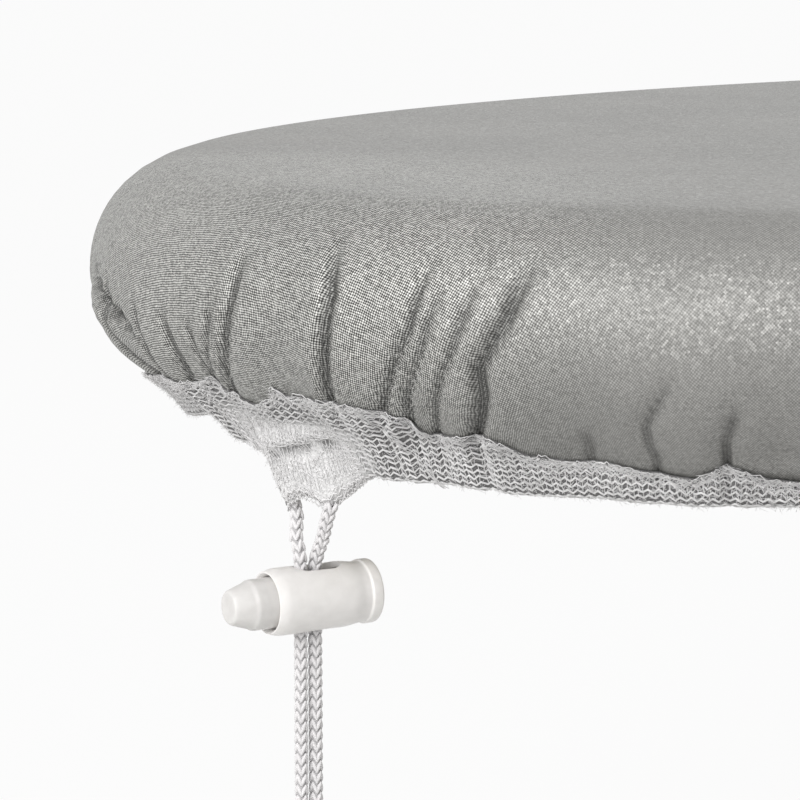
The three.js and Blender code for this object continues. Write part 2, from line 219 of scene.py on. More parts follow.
def even_path(path: Array, step: float) -> Array:
    """Space the points of a path evenly.

    Args:
        path: Points of the path, n by 3.
        step: Wanted distance between points.

    Returns:
        Points at even distances along the path, both ends included.
    """
    run = run_along(path)
    at = np.linspace(0.0, run[-1], max(2, int(round(run[-1] / step)) + 1))
    return np.stack([np.interp(at, run, path[:, axis]) for axis in range(3)], axis=1)


def tube_mesh(name: str, path: Array, radius: Array | float, sides: int) -> Mesh:
    """Round tube with closed ends along a path.

    Args:
        name: Name of the mesh.
        path: Points of the centre line, n by 3.
        radius: One radius, or one at each point.
        sides: Points round the tube.

    Returns:
        The mesh.
    """
    tangent = np.gradient(path, axis=0)
    tangent /= np.linalg.norm(tangent, axis=1)[:, None]
    across = np.cross(tangent[0], ODD_WAY)
    turn = np.linspace(0.0, 2 * math.pi, sides, endpoint=False)[:, None]
    rings = []
    for centre, size, heading in zip(path, np.broadcast_to(radius, len(path)), tangent):
        across = across - heading * (across @ heading)
        across = across / np.linalg.norm(across)
        rings.append(centre + size * (np.cos(turn) * across + np.sin(turn) * np.cross(heading, across)))
    return new_mesh(name, np.vstack(rings), capped_faces(len(path), sides))


def rounded_profile(corners: list[tuple[float, float, float]], parts: int = 5) -> Array:
    """Round the corners of a lathe profile.

    Args:
        corners: Place along the axis, distance from it and rounding of each corner.
        parts: Segments in each rounding.

    Returns:
        Points of the profile, n by 2.
    """
    places = np.array([corner[:2] for corner in corners])
    at = np.linspace(0.0, 1.0, parts + 1)[:, None]
    made = [places[:1]]
    for k in range(1, len(corners) - 1):
        legs = [places[k - 1] - places[k], places[k + 1] - places[k]]
        reach = min(corners[k][2], *(LEG_SHARE * np.linalg.norm(leg) for leg in legs))
        if reach <= 0.0:
            made.append(places[k:k + 1])
            continue
        start, end = (places[k] + leg / np.linalg.norm(leg) * reach for leg in legs)
        made.append((1 - at) ** 2 * start + 2 * at * (1 - at) * places[k] + at ** 2 * end)
    made.append(places[-1:])
    return np.vstack(made)


def lathe_mesh(name: str, profile: Array, segments: int) -> Mesh:
    """Turn a profile round the X axis to a closed solid.

    Args:
        name: Name of the mesh.
        profile: Points (along, distance) from the axis and back to it, n by 2.
        segments: Points round the axis.

    Returns:
        The mesh, with faces outward for a profile that starts at the rear and runs forward on the outside.
    """
    turn = np.linspace(0.0, 2 * math.pi, segments, endpoint=False)
    along, away = profile[1:-1, :1], profile[1:-1, 1:]
    rings = np.stack(
        [np.repeat(along, segments, axis=1), away * np.cos(turn), away * np.sin(turn)], axis=-1
    ).reshape(-1, 3)
    poles = np.array([[profile[0, 0], 0.0, 0.0], [profile[-1, 0], 0.0, 0.0]])
    faces = loft_faces(len(along), segments, flip=True)
    first = len(rings)
    final = first - segments
    for k in range(segments):
        follow = (k + 1) % segments
        faces.append((first, k, follow))
        faces.append((first + 1, final + follow, final + k))
    return new_mesh(name, np.vstack([rings, poles]), faces)


def baked(host: Object, name: str) -> Object:
    """Turn an object with modifiers into a plain mesh object and remove the first.

    Args:
        host: Object whose modifiers are taken as they are.
        name: Name of the result.

    Returns:
        The new object, without modifiers.
    """
    graph = bpy.context.evaluated_depsgraph_get()
    mesh = bpy.data.meshes.new_from_object(host.evaluated_get(graph), depsgraph=graph)
    mesh.name = name
    old = host.data
    bpy.data.objects.remove(host)
    bpy.data.meshes.remove(old)
    return new_object(name, mesh)


# ---------------------------------------------------------------- node helpers


class NodeMaker:
    """Node tree while it is being made."""

    def __init__(self, tree: NodeTree) -> None:
        """Take up a tree."""
        self.tree = tree

    def feed(self, socket: NodeSocket, value: object) -> None:
        """Set a socket's value, or link it.

        Args:
            socket: Input to feed.
            value: A value, or the output to link.
        """
        if isinstance(value, NodeSocket):
            self.tree.links.new(value, socket)
        else:
            socket.default_value = value

    def node(self, kind: str, inputs: dict | None = None, **settings: object) -> Node:
        """Add a node.

        Args:
            kind: Type name of the node.
            inputs: Socket values or sockets to link, by name or number.
            settings: Properties of the node.

        Returns:
            The node.
        """
        made = self.tree.nodes.new(kind)
        for key, value in settings.items():
            setattr(made, key, value)
        for key, value in (inputs or {}).items():
            self.feed(made.inputs[key], value)
        return made

    def out(self, kind: str, inputs: dict | None = None, **settings: object) -> NodeSocket:
        """Add a node and return its first output."""
        return self.node(kind, inputs, **settings).outputs[0]

    def math(self, operation: str, *values: object) -> NodeSocket:
        """Add a Math node and return its result."""
        return self.out("ShaderNodeMath", dict(enumerate(values)), operation=operation)

    def vector(self, operation: str, first: object, second: object = None) -> NodeSocket:
        """Add a Vector Math node.

        Args:
            operation: What it does.
            first: Its first vector.
            second: Its second vector, or the scale, where it has one.

        Returns:
            The result, a number for a dot product or a distance.
        """
        inputs = {0: first}
        if second is not None:
            inputs["Scale" if operation == "SCALE" else 1] = second
        result = "Value" if operation in ("DOT_PRODUCT", "DISTANCE") else "Vector"
        return self.node("ShaderNodeVectorMath", inputs, operation=operation).outputs[result]

    def span(self, value: object, low: float, high: float) -> NodeSocket:
        """Add a Map Range node from 0 and 1 to two limits and return its result."""
        return self.out("ShaderNodeMapRange", {"Value": value, "To Min": low, "To Max": high})


class ShaderTree(NodeMaker):
    """Node tree of one material while it is being made."""

    def __init__(self, name: str) -> None:
        """Start a material with a Principled shader.

        Args:
            name: Name of the material.
        """
        self.material = bpy.data.materials.new(name)
        self.material.use_nodes = True
        super().__init__(self.material.node_tree)

    def ramp(self, value: object, *stops: tuple[float, tuple]) -> NodeSocket:
        """Add a Color Ramp and return its colour.

        Args:
            value: Socket that drives the ramp.
            stops: Place and linear colour of each stop.

        Returns:
            The colour socket.
        """
        made = self.node("ShaderNodeValToRGB", {"Fac": value})
        elements = made.color_ramp.elements
        while len(elements) < len(stops):
            elements.new(0.5)
        for element, (place, colour) in zip(elements, stops):
            element.position = place
            element.color = (*colour, 1.0)
        return made.outputs["Color"]

    def noise(self, coords: object, scale: float, detail: float, result: int | str = 0) -> NodeSocket:
        """Add a Noise texture and return its value or colour."""
        return self.node("ShaderNodeTexNoise", {"Vector": coords, "Scale": scale, "Detail": detail}).outputs[result]

    def cell_noise(self, cells: object) -> bpy_prop_collection:
        """Add a random value and colour for each cell of a grid and return both outputs."""
        floor = self.vector("FLOOR", cells)
        return self.node("ShaderNodeTexWhiteNoise", {"Vector": floor}, noise_dimensions="3D").outputs

    def centred(self, colour: object) -> NodeSocket:
        """Return a random colour as a vector about zero."""
        return self.vector("SUBTRACT", colour, (0.5, 0.5, 0.5))

    def mix(self, share: object, first: object, second: object, blend: str = "MIX") -> NodeSocket:
        """Add a Mix node and return its colour, the first one at a share of 0."""
        inputs = {"Factor": share, 6: first, 7: second}
        return self.node("ShaderNodeMix", inputs, data_type="RGBA", blend_type=blend).outputs[2]

    def mask(self, name: str) -> NodeSocket:
        """Return an attribute of the mesh."""
        return self.node("ShaderNodeAttribute", attribute_name=name).outputs["Fac"]

    def coords(self, kind: str = "Object") -> NodeSocket:
        """Return the object's own coordinates, or others that the node has."""
        return self.node("ShaderNodeTexCoord").outputs[kind]

    def bump(self, height: object, distance: float, strength: object, normal: object = None) -> NodeSocket:
        """Add a Bump node.

        Args:
            height: Height socket, 0 to 1.
            distance: Height in metres that 1 stands for.
            strength: Share of the effect.
            normal: Normal that this one goes on top of.

        Returns:
            The normal socket.
        """
        made = self.node("ShaderNodeBump", {"Height": height, "Distance": distance, "Strength": strength})
        if normal is not None:
            self.feed(made.inputs["Normal"], normal)
        return made.outputs["Normal"]

    def finish(self, **inputs: object) -> Material:
        """Feed the Principled shader and return the material.

        Args:
            inputs: Values or sockets, by socket name with _ for a space.

        Returns:
            The material.
        """
        for key, value in inputs.items():
            self.feed(self.tree.nodes["Principled BSDF"].inputs[key.replace("_", " ")], value)
        return self.material


class GrowTree(NodeMaker):
    """Geometry Nodes tree that grows yarn on guide lines."""

    def __init__(self, name: str) -> None:
        """Start a tree with a geometry input and output.

        Args:
            name: Name of the tree.
        """
        super().__init__(bpy.data.node_groups.new(name, "GeometryNodeTree"))
        for way in ("INPUT", "OUTPUT"):
            self.tree.interface.new_socket("Geometry", in_out=way, socket_type="NodeSocketGeometry")
        self.source = self.tree.nodes.new("NodeGroupInput")
        self.result = self.tree.nodes.new("NodeGroupOutput")

    def value(self, name: str, kind: str = "Float") -> NodeSocket:
        """Add a named input to the tree and return its socket."""
        self.tree.interface.new_socket(name, in_out="INPUT", socket_type=f"NodeSocket{kind}")
        return self.source.outputs[name]

    def guide(self) -> NodeSocket:
        """Return the guide lines as curves."""
        return self.out("GeometryNodeMeshToCurve", {"Mesh": self.source.outputs[0]})

    def tube(self, curve: object, radius: object, sides: object) -> NodeSocket:
        """Sweep a round section with closed ends along curves."""
        profile = self.out("GeometryNodeCurvePrimitiveCircle", {"Resolution": sides, "Radius": radius})
        return self.out("GeometryNodeCurveToMesh", {"Curve": curve, "Profile Curve": profile, "Fill Caps": True})

    def dressed(self, geometry: object, material: object) -> NodeSocket:
        """Give all the faces of a geometry a material."""
        return self.out("GeometryNodeSetMaterial", {"Geometry": geometry, "Material": material})

    def close(self, geometry: object) -> None:
        """End the tree with smooth shading."""
        smooth = self.out("GeometryNodeSetShadeSmooth", {"Geometry": geometry})
        self.feed(self.result.inputs[0], smooth)

    def grow(self, name: str, guide: Mesh, values: dict[str, object]) -> Object:
        """Run the tree on a guide mesh.

        Args:
            name: Name of the result.
            guide: Mesh of guide lines, used up.
            values: Values of the tree's inputs, by name.

        Returns:
            A plain mesh object.
        """
        host = new_object(f"{name}_guide", guide)
        modifier = host.modifiers.new("grow", "NODES")
        modifier.node_group = self.tree
        for item in self.tree.interface.items_tree:
            if item.in_out == "INPUT" and item.name in values:
                modifier[item.identifier] = values[item.name]
        return baked(host, name)


def knit_course_tree() -> GrowTree:
    """Tree that turns guide lines into zigzag courses of yarn.

    Returns:
        The tree, with height, radius, unevenness, seed and yarn inputs.
    """
    made = GrowTree("knit_courses")
    height, radius, uneven = (made.value(name) for name in ("Zigzag Height", "Yarn Radius", "Unevenness"))
    seed = made.value("Seed", "Int")
    yarn = made.value("Yarn", "Material")
    across = made.out("GeometryNodeInputNamedAttribute", {"Name": "across"}, data_type="FLOAT_VECTOR")
    swing = made.out("GeometryNodeInputNamedAttribute", {"Name": "swing"}, data_type="FLOAT")
    limits = {"Min": (-1, -1, -1), "Max": (1, 1, 1)}
    chance = made.out("FunctionNodeRandomValue", limits | {"Seed": seed}, data_type="FLOAT_VECTOR")
    zigzag = made.vector("SCALE", across, made.math("MULTIPLY", swing, height))
    offset = made.vector("ADD", zigzag, made.vector("SCALE", chance, uneven))
    moved = made.out("GeometryNodeSetPosition", {"Geometry": made.guide(), "Offset": offset})
    made.close(made.dressed(made.tube(moved, radius, 4), yarn))
    return made


def thread_tree() -> GrowTree:
    """Tree that turns every guide line into a thin plain thread.

    Returns:
        The tree, with radius, sides and yarn inputs.
    """
    made = GrowTree("threads")
    radius = made.value("Thread Radius")
    sides = made.value("Sides", "Int")
    yarn = made.value("Yarn", "Material")
    made.close(made.dressed(made.tube(made.guide(), radius, sides), yarn))
    return made


def knit_cord_tree() -> GrowTree:
    """Tree that dresses a guide line as a round knit cord, with V stitches in wales round a core whose greyer yarn is
    painted shade between the stitches.

    Returns:
        The tree, with stitch, ring, core and yarn inputs.
    """
    made = GrowTree("knit_cord")
    pitch, ring_radius, core_radius, tilt = (
        made.value(name) for name in ("Stitch Pitch", "Ring Radius", "Core Radius", "Stitch Tilt")
    )
    leaf = made.value("Stitch Size", "Vector")
    strands = made.value("Strands", "Int")
    yarn, painted_dark = (made.value(name, "Material") for name in ("Yarn", "Painted Shade Core Yarn"))
    curve = made.guide()
    ball = made.out("GeometryNodeMeshUVSphere", {"Segments": 6, "Rings": 5, "Radius": 1.0})
    stitch = made.out("GeometryNodeTransform", {"Geometry": ball, "Scale": leaf})
    circle = made.out("GeometryNodeMeshCircle", {"Vertices": strands, "Radius": ring_radius})
    index = made.out("GeometryNodeInputIndex")
    side = made.math("MULTIPLY_ADD", made.math("MODULO", index, 2.0), 2.0, -1.0)
    angle = made.math("MULTIPLY", index, made.math("DIVIDE", 2 * math.pi, strands))
    turned = made.out("ShaderNodeCombineXYZ", {"X": made.math("MULTIPLY", side, tilt), "Z": angle})
    rotation = made.out("FunctionNodeEulerToRotation", {0: turned})
    ring = made.out("GeometryNodeInstanceOnPoints", {"Points": circle, "Instance": stitch, "Rotation": rotation})
    spots = made.node("GeometryNodeCurveToPoints", {"Curve": curve, "Length": pitch}, mode="LENGTH").outputs
    rings = made.out(
        "GeometryNodeInstanceOnPoints",
        {"Points": spots["Points"], "Instance": ring, "Rotation": spots["Rotation"]},
    )
    real = made.out("GeometryNodeRealizeInstances", {"Geometry": rings})
    both = made.node("GeometryNodeJoinGeometry")
    # the core's greyer material is painted shade between the stitches
    for part, finish in ((made.tube(curve, core_radius, 10), painted_dark), (real, yarn)):
        made.feed(both.inputs[0], made.dressed(part, finish))
    made.close(both.outputs[0])
    return made


# ---------------------------------------------------------------- finishes


@dataclass(frozen=True)
class MetallisedCotton:
    """Silver coated plain-weave cotton, with a random sparkle on every thread crossing."""

    shade: float = 0.256
    thread_pitch: float = 0.415
    metallic: float = 0.32
    specular: float = 0.22
    roughness: float = 0.5
    rough_spread: tuple[float, float] = (-0.1, 0.12)
    sparkle: float = 0.44
    flake_share: float = 0.9
    wander_scale: float = 0.14
    wander_reach: float = 1.3
    thread_wave: tuple[float, float, float] = (-0.35, -0.35, 0.0)
    thread_level: float = 0.3
    thread_chance: float = 0.4
    thread_height: float = 0.00005
    cloud_scale: float = 26.0
    dent_scale: tuple[float, float, float] = (11.0, 24.0, 24.0)
    dent_height: float = 0.0011
    # painted shade in the creases: pitch and depth of its lines, and its colour
    crease_shade_pitch: float = 0.6
    crease_shade_share: tuple[float, float] = (0.2, 0.78)
    painted_crease_shade: tuple[float, float, float, float] = (0.04, 0.04, 0.038, 1.0)
    nose: tuple[float, float, float] = (-0.612, 0.012, 0.0)
    clear_reach: float = 0.05
    soft_reach: float = 0.1
    soft_share: float = 0.2

    def material(self) -> Material:
        """Make the material from the skin's own cloth coordinates and crease mask, which paints shade into the creases.

        Returns:
            The material.
        """
        made = ShaderTree("metallised_cotton")
        cloth = made.out("ShaderNodeUVMap", uv_map="cloth")
        straight = made.vector("SCALE", cloth, 1000.0 / self.thread_pitch)
        wander = made.centred(made.noise(straight, self.wander_scale, 3.0, "Color"))
        cells = made.vector("ADD", straight, made.vector("SCALE", wander, self.wander_reach))
        waves = made.vector("COSINE", made.vector("SCALE", cells, 2 * math.pi))
        knots = made.math("ADD", made.vector("DOT_PRODUCT", waves, self.thread_wave), self.thread_level)
        clear = made.out(
            "ShaderNodeMapRange",
            {"Value": made.vector("DISTANCE", cloth, self.nose), "From Min": self.clear_reach,
             "From Max": self.soft_reach, "To Min": 1.0, "To Max": self.soft_share},
            interpolation_type="SMOOTHSTEP",
        )
        flakes = made.cell_noise(made.vector("SCALE", cells, self.flake_share))
        low, high = self.rough_spread
        return made.finish(
            Base_Color=self.colour(made, cells, knots, clear), Metallic=self.metallic,
            Roughness=made.span(flakes["Value"], self.roughness + low, self.roughness + high),
            Normal=self.relief(made, flakes["Color"], knots, clear), Specular_IOR_Level=self.specular,
        )

    def colour(self, made: ShaderTree, cells: object, knots: object, clear: object) -> NodeSocket:
        """Colour of the threads, even far from the nose, with painted shade in the creases.

        Args:
            made: Tree of the material.
            cells: Cloth coordinates in threads.
            knots: Height of the weave.
            clear: Share of the weave that is seen.

        Returns:
            The colour.
        """
        woven = made.math("MULTIPLY_ADD", made.cell_noise(cells)["Value"], self.thread_chance, knots)
        threads = made.ramp(
            woven,
            (0.12, tone(self.shade, 0.1, 0.1, 0.095)),
            (0.5, tone(self.shade, 0.86, 0.858, 0.82)),
            (0.92, tone(self.shade, 2.6, 2.59, 2.5)),
        )
        even = (*tone(self.shade, 0.96, 0.95, 0.915), 1.0)
        cloudy = made.noise(made.coords(), self.cloud_scale, 3.0)
        wash = made.ramp(cloudy, (0.3, (0.94, 0.94, 0.935)), (0.7, (1.05, 1.045, 1.04)))
        tinted = made.mix(1.0, made.mix(clear, even, threads), wash, "MULTIPLY")
        # painted shade: the crease mask mixes the threads towards a near-black colour, in fine lines across each crease
        ripple = made.math("COSINE", made.math("MULTIPLY", made.mask("crease_across"), 2 * math.pi / self.crease_shade_pitch))
        depth = made.math("MULTIPLY_ADD", ripple, *self.crease_shade_share)
        return made.mix(made.math("MULTIPLY", made.mask("crease"), depth), tinted, self.painted_crease_shade)

    def relief(self, made: ShaderTree, flakes: object, knots: object, clear: object) -> NodeSocket:
        """Normal with the sparkle of the flakes, shallow dents and the weave.

        Args:
            made: Tree of the material.
            flakes: Random colour of each flake.
            knots: Height of the weave.
            clear: Share of the weave that is seen.

        Returns:
            The normal.
        """
        tilt = made.vector("SCALE", made.centred(flakes), self.sparkle)
        sparkling = made.vector("NORMALIZE", made.vector("ADD", made.coords("Normal"), tilt))
        dents = made.noise(made.vector("MULTIPLY", made.coords(), self.dent_scale), 1.0, 1.5)
        dented = made.bump(dents, self.dent_height, 0.4, sparkling)
        return made.bump(knots, self.thread_height, made.math("MULTIPLY", clear, 0.5), dented)


@dataclass(frozen=True)
class KnitYarn:
    """White textured polyester yarn with a little fuzz."""

    name: str
    colour: tuple[float, float, float]
    shadow: tuple[float, float, float]
    grain: float = 2600.0
    patch_scale: float = 160.0
    patch_share: float = 0.3
    fibre_height: float = 0.00012

    def material(self) -> Material:
        """Make the material, with fine fibre lines from object coordinates.

        Returns:
            The material.
        """
        made = ShaderTree(self.name)
        coords = made.coords()
        fibre = made.noise(coords, self.grain, 3.0)
        patch = made.math("MULTIPLY", made.noise(coords, self.patch_scale, 2.0), self.patch_share)
        mixed = made.math("MULTIPLY_ADD", fibre, 1 - self.patch_share, patch)
        colour = made.ramp(mixed, (0.25, self.shadow), (0.62, self.colour))
        normal = made.bump(fibre, self.fibre_height, 0.7)
        return made.finish(Base_Color=colour, Roughness=0.82, Normal=normal, Sheen_Weight=0.25)


@dataclass(frozen=True)
class TapeGround:
    """Ground of the knit tape: deep grey between the open courses as painted shade, pale and felted where the tape is
    doubled.
    """

    open_painted_shade: float = 0.16
    close_shade: float = 0.82
    painted_fold_shade: tuple[float, float, float, float] = (0.06, 0.058, 0.058, 1.0)
    grain: float = 2300.0
    fibre_height: float = 0.00014

    def material(self) -> Material:
        """Make the material from object coordinates and the ribbon's "close" and "fold" masks; the "fold" mask paints
        shade into the overlap's crease.

        Returns:
            The material.
        """
        made = ShaderTree("knit_ground")
        fibre = made.noise(made.coords(), self.grain, 3.0)
        # painted shade: the open ground stands in for the shade seen through the gaps between courses
        painted_dark, pale = self.open_painted_shade, self.close_shade
        sparse = made.ramp(fibre, (0.3, tone(painted_dark, 0.5, 0.49, 0.49)), (0.65, tone(painted_dark, 1.0, 0.985, 0.985)))
        felted = made.ramp(fibre, (0.32, tone(pale, 0.62, 0.615, 0.615)), (0.62, tone(pale, 1.0, 0.99, 0.99)))
        mixed = made.mix(made.mask("close"), sparse, felted)
        # painted shade along the overlap's crease
        shaded = made.mix(made.mask("fold"), mixed, self.painted_fold_shade)
        normal = made.bump(fibre, self.fibre_height, 0.8)
        return made.finish(Base_Color=shaded, Roughness=0.86, Normal=normal, Sheen_Weight=0.25)


@dataclass(frozen=True)
class LockPlastic:
    """Off-white satin moulded plastic with faint mottling and scuffs."""

    name: str
    colour: tuple[float, float, float]
    scuffed: tuple[float, float, float]
    mottle_scale: float = 420.0
    grain: float = 3600.0
    grain_height: float = 0.00003

    def material(self) -> Material:
        """Make the material from object coordinates.

        Returns:
            The material.
        """
        made = ShaderTree(self.name)
        coords = made.coords()
        mottle = made.noise(coords, self.mottle_scale, 4.0)
        return made.finish(
            Base_Color=made.ramp(mottle, (0.34, self.scuffed), (0.6, self.colour)),
            Roughness=made.span(mottle, 0.34, 0.5),
            Normal=made.bump(made.noise(coords, self.grain, 2.0), self.grain_height, 0.5),
            Subsurface_Weight=0.35, Subsurface_Scale=0.003, Subsurface_Radius=(1.0, 1.0, 1.0),
        )


@dataclass(frozen=True)
class SpringSteel:
    """Bright drawn wire."""

    grain: float = 2400.0

    def material(self) -> Material:
        """Make the material, with drawing marks from object coordinates.

        Returns:
            The material.
        """
        made = ShaderTree("spring_steel")
        marks = made.noise(made.coords(), self.grain, 3.0)
        colour = made.ramp(marks, (0.3, (0.42, 0.42, 0.43)), (0.7, (0.62, 0.62, 0.63)))
        return made.finish(Base_Color=colour, Metallic=1.0, Roughness=made.span(marks, 0.2, 0.38))


@dataclass(frozen=True)
class PadFoam:
    """Pale open-cell foam with pores."""

    pore_scale: float = 900.0
    pore_height: float = 0.0006
    patch_scale: float = 40.0

    def material(self) -> Material:
        """Make the material, with pores from object coordinates.

        Returns:
            The material.
        """
        made = ShaderTree("foam")
        coords = made.coords()
        pores = made.node("ShaderNodeTexVoronoi", {"Vector": coords, "Scale": self.pore_scale}).outputs["Distance"]
        patch = made.math("MULTIPLY", made.noise(coords, self.patch_scale, 3.0), 0.5)
        mixed = made.math("MULTIPLY_ADD", pores, 0.7, patch)
        colour = made.ramp(mixed, (0.3, (0.72, 0.69, 0.60)), (0.8, (0.55, 0.51, 0.42)))
        return made.finish(Base_Color=colour, Roughness=0.92, Normal=made.bump(pores, self.pore_height, 0.8))


# ---------------------------------------------------------------- the cover's form


@dataclass(frozen=True)
class CoverOutline:
    """Outline seen from above, by signed distance round the hem from the nose tip, positive towards +Y."""

    length: float = 1220.0
    width: float = 400.0
    nose_length: float = 350.0
    corner_radius: float = 70.0
    fold_count: int = 44
    fold_depth: float = 3.2
    bend_share: float = 0.55

    @cached_property
    def half(self) -> dict[str, Array]:
        """Sample the +Y half from the nose to the tail.

        Returns:
            Run, place, inward normal and share of the folds passed.
        """
        reach = self.width / 2
        sweep = np.linspace(0.0, math.pi / 2, 6001)
        nose = np.stack(
            [-self.length / 2 + self.nose_length * (1 - np.cos(sweep)), reach * np.sin(sweep)], axis=1
        )
        nose_in = np.stack([np.cos(sweep) / self.nose_length, -np.sin(sweep) / reach], axis=1)
        nose_in /= np.linalg.norm(nose_in, axis=1)[:, None]
        turn = np.linspace(math.pi / 2, 0.0, 1001)
        round_out = np.stack([np.cos(turn), np.sin(turn)], axis=1)
        centre = np.array([self.length / 2 - self.corner_radius, reach - self.corner_radius])
        place = np.vstack([nose, centre + self.corner_radius * round_out, [[self.length / 2, 0.0]]])
        inward = np.vstack([nose_in, -round_out, [[-1.0, 0.0]]])
        run = run_along(place)
        bend = np.arctan2(-inward[:, 1], inward[:, 0])
        share = self.bend_share * bend / (2 * math.pi) + (1 - self.bend_share) * run / (2 * run[-1])
        return {"run": run, "place": place, "inward": inward, "share": share}

    @property
    def girth(self) -> float:
        """Length of the whole outline."""
        return 2 * float(self.half["run"][-1])

    def wrap(self, s: Array) -> Array:
        """Bring signed distances into one turn."""
        return (np.asarray(s, float) + self.girth / 2) % self.girth - self.girth / 2

    def place(self, s: Array, inset: Array, z: Array) -> Array:
        """Points at a distance round the outline, an inset from it and a height.

        Args:
            s: Signed distances.
            inset: Distances inward from the outline.
            z: Heights.

        Returns:
            Points, with a last axis of 3.
        """
        s = self.wrap(s)
        away = np.abs(s)
        side = np.where(s < 0, -1.0, 1.0)
        table = self.half
        x, y = (np.interp(away, table["run"], table["place"][:, axis]) for axis in (0, 1))
        nx, ny = (np.interp(away, table["run"], table["inward"][:, axis]) for axis in (0, 1))
        size = np.hypot(nx, ny)
        x, y, inset, z, size = np.broadcast_arrays(x, y, inset, z, size)
        return np.stack([x + inset * nx / size, (y + inset * ny / size) * side, z], axis=-1)

    def fold(self, s: Array) -> Array:
        """How far the gathered hem is drawn in by its regular folds.

        Args:
            s: Signed distances round the hem.

        Returns:
            Inward distances.
        """
        share = np.interp(np.abs(self.wrap(s)), self.half["run"], self.half["share"])
        cycle = self.fold_count * share
        valley = 2 * np.floor(cycle) + 1
        depth = self.fold_depth * (1 - 0.3 * np.sin(valley) ** 2)
        return depth * (0.5 - 0.5 * np.cos(2 * math.pi * cycle)) ** 1.5


@dataclass(frozen=True)
class Pucker:
    """Band of fine creases that runs down the skirt to the hem."""

    line: tuple[tuple[float, float], ...]
    depth: float
    width: float
    strands: int = 1
    gap: float = 2.0

    def pull(self, s: Array, v: Array) -> tuple[Array, Array, Array]:
        """How far the skin is drawn in, how sharply it is creased, and where across the crease it lies.

        Args:
            s: Signed distances round the hem.
            v: Distances down the profile from the crown's edge.

        Returns:
            Inward distances, less than zero on the pillows beside the crease, a mask of its band for painted shade, and
            the distance from its middle.
        """
        heights, places = zip(*self.line)
        growth = unit((v - heights[0]) / (heights[-1] - heights[0]))
        across = s - np.interp(v, heights, places)
        rise = unit(growth * 5.0) * (0.68 + 0.32 * growth)
        x = across / self.width
        broad = 0.85 * bell(x, 2.4) - 0.45 * bell(x, 6.0)
        lines = np.zeros_like(x)
        for strand in range(self.strands):
            shift = (strand - (self.strands - 1) / 2) * self.gap * (0.45 + 0.55 * growth)
            share = 1.0 if 2 * strand == self.strands - 1 or self.strands < 3 else 0.6
            lines = lines + share * bell(across - shift, 0.62 * self.width)
        # the band sets how much painted shade the crease gets, less for a single strand
        seen = unit(growth * 4.0) * (0.85 + 0.15 * growth) * min(1.0, 0.45 + 0.45 * self.depth)
        soft = 0.6 if self.strands == 1 else 1.0
        band = soft * seen * bell(across, 0.5 * self.width * (self.strands + 0.6), 4)
        return self.depth * rise * (broad + 0.62 * lines), band, across


PHOTOGRAPHED_PUCKERS = (
    Pucker(((18, -5), (28, -4), (35, -2), (42, 2), (52, 6)), 1.0, 0.8, 2, 1.8),
    Pucker(((27, 0), (35, 3), (40, 6), (52, 11)), 0.8, 0.7, 2, 1.6),
    Pucker(((31, 18), (41, 17), (47, 19), (52, 20)), 1.0, 0.9, 2, 2.0),
    Pucker(((32, 9), (43, 10), (52, 13)), 0.9, 0.8, 2, 1.6),
    Pucker(((30, 29), (40, 28), (52, 28)), 0.8, 0.9, 2, 2.0),
    Pucker(((15, -24), (26, -26), (34, -25), (45, -22), (52, -21)), 1.6, 0.72, 3, 1.6),
    Pucker(((18, -44), (26, -42), (31, -41), (37, -37), (44, -33), (52, -29)), 1.25, 0.62, 2, 1.3),
    Pucker(((22, -47), (34, -43), (42, -38), (52, -34)), 1.0, 0.58, 2, 1.3),
    Pucker(((20, -53), (33, -49), (40, -45), (48, -41), (52, -39)), 1.0, 0.6, 2, 1.3),
    Pucker(((17, -61.3), (28, -57.6), (36, -52.9), (41, -52.8), (45, -51.1), (52, -47.8)), 2.1, 0.95, 2, 1.8),
    Pucker(((42, -52.3), (46, -50.5), (52, -47.8)), 0.8, 0.85, 2, 0.9),
    Pucker(((47, -68.4), (54, -67.6)), 0.8, 1.5),
    Pucker(((35, -84.4), (40.5, -81.2), (44.7, -79), (50, -79), (55, -80)), 1.25, 1.15),
    Pucker(((40, -93.7), (45, -92.4), (48.4, -91.4), (55, -91.2)), 2.1, 1.0),
)
PHOTOGRAPHED_TAPE_EDGE = (
    (-118, -5.4), (-103, -6.4), (-98, -5.6), (-91, -2.0), (-86, -5.6), (-78, -4.4), (-71, -3.0), (-64, -3.4),
    (-57, -1.8), (-52, 2.4), (-42, 1.0), (-37.5, 0.2), (-35, 4.4), (-32, 6.2), (-26, 7.2), (-17, 7.2), (-10, 6.6),
    (-8.6, 8.5), (-7, 6.0), (-4, 4.6), (-1.2, 3.2), (1, 4.0), (5, 5.6), (9.5, 6.6), (11, 8.0), (12.5, 7.0),
    (18, 5.4), (24, 4.6), (34, 4.2), (45, 2.0), (60, 0.0),
)


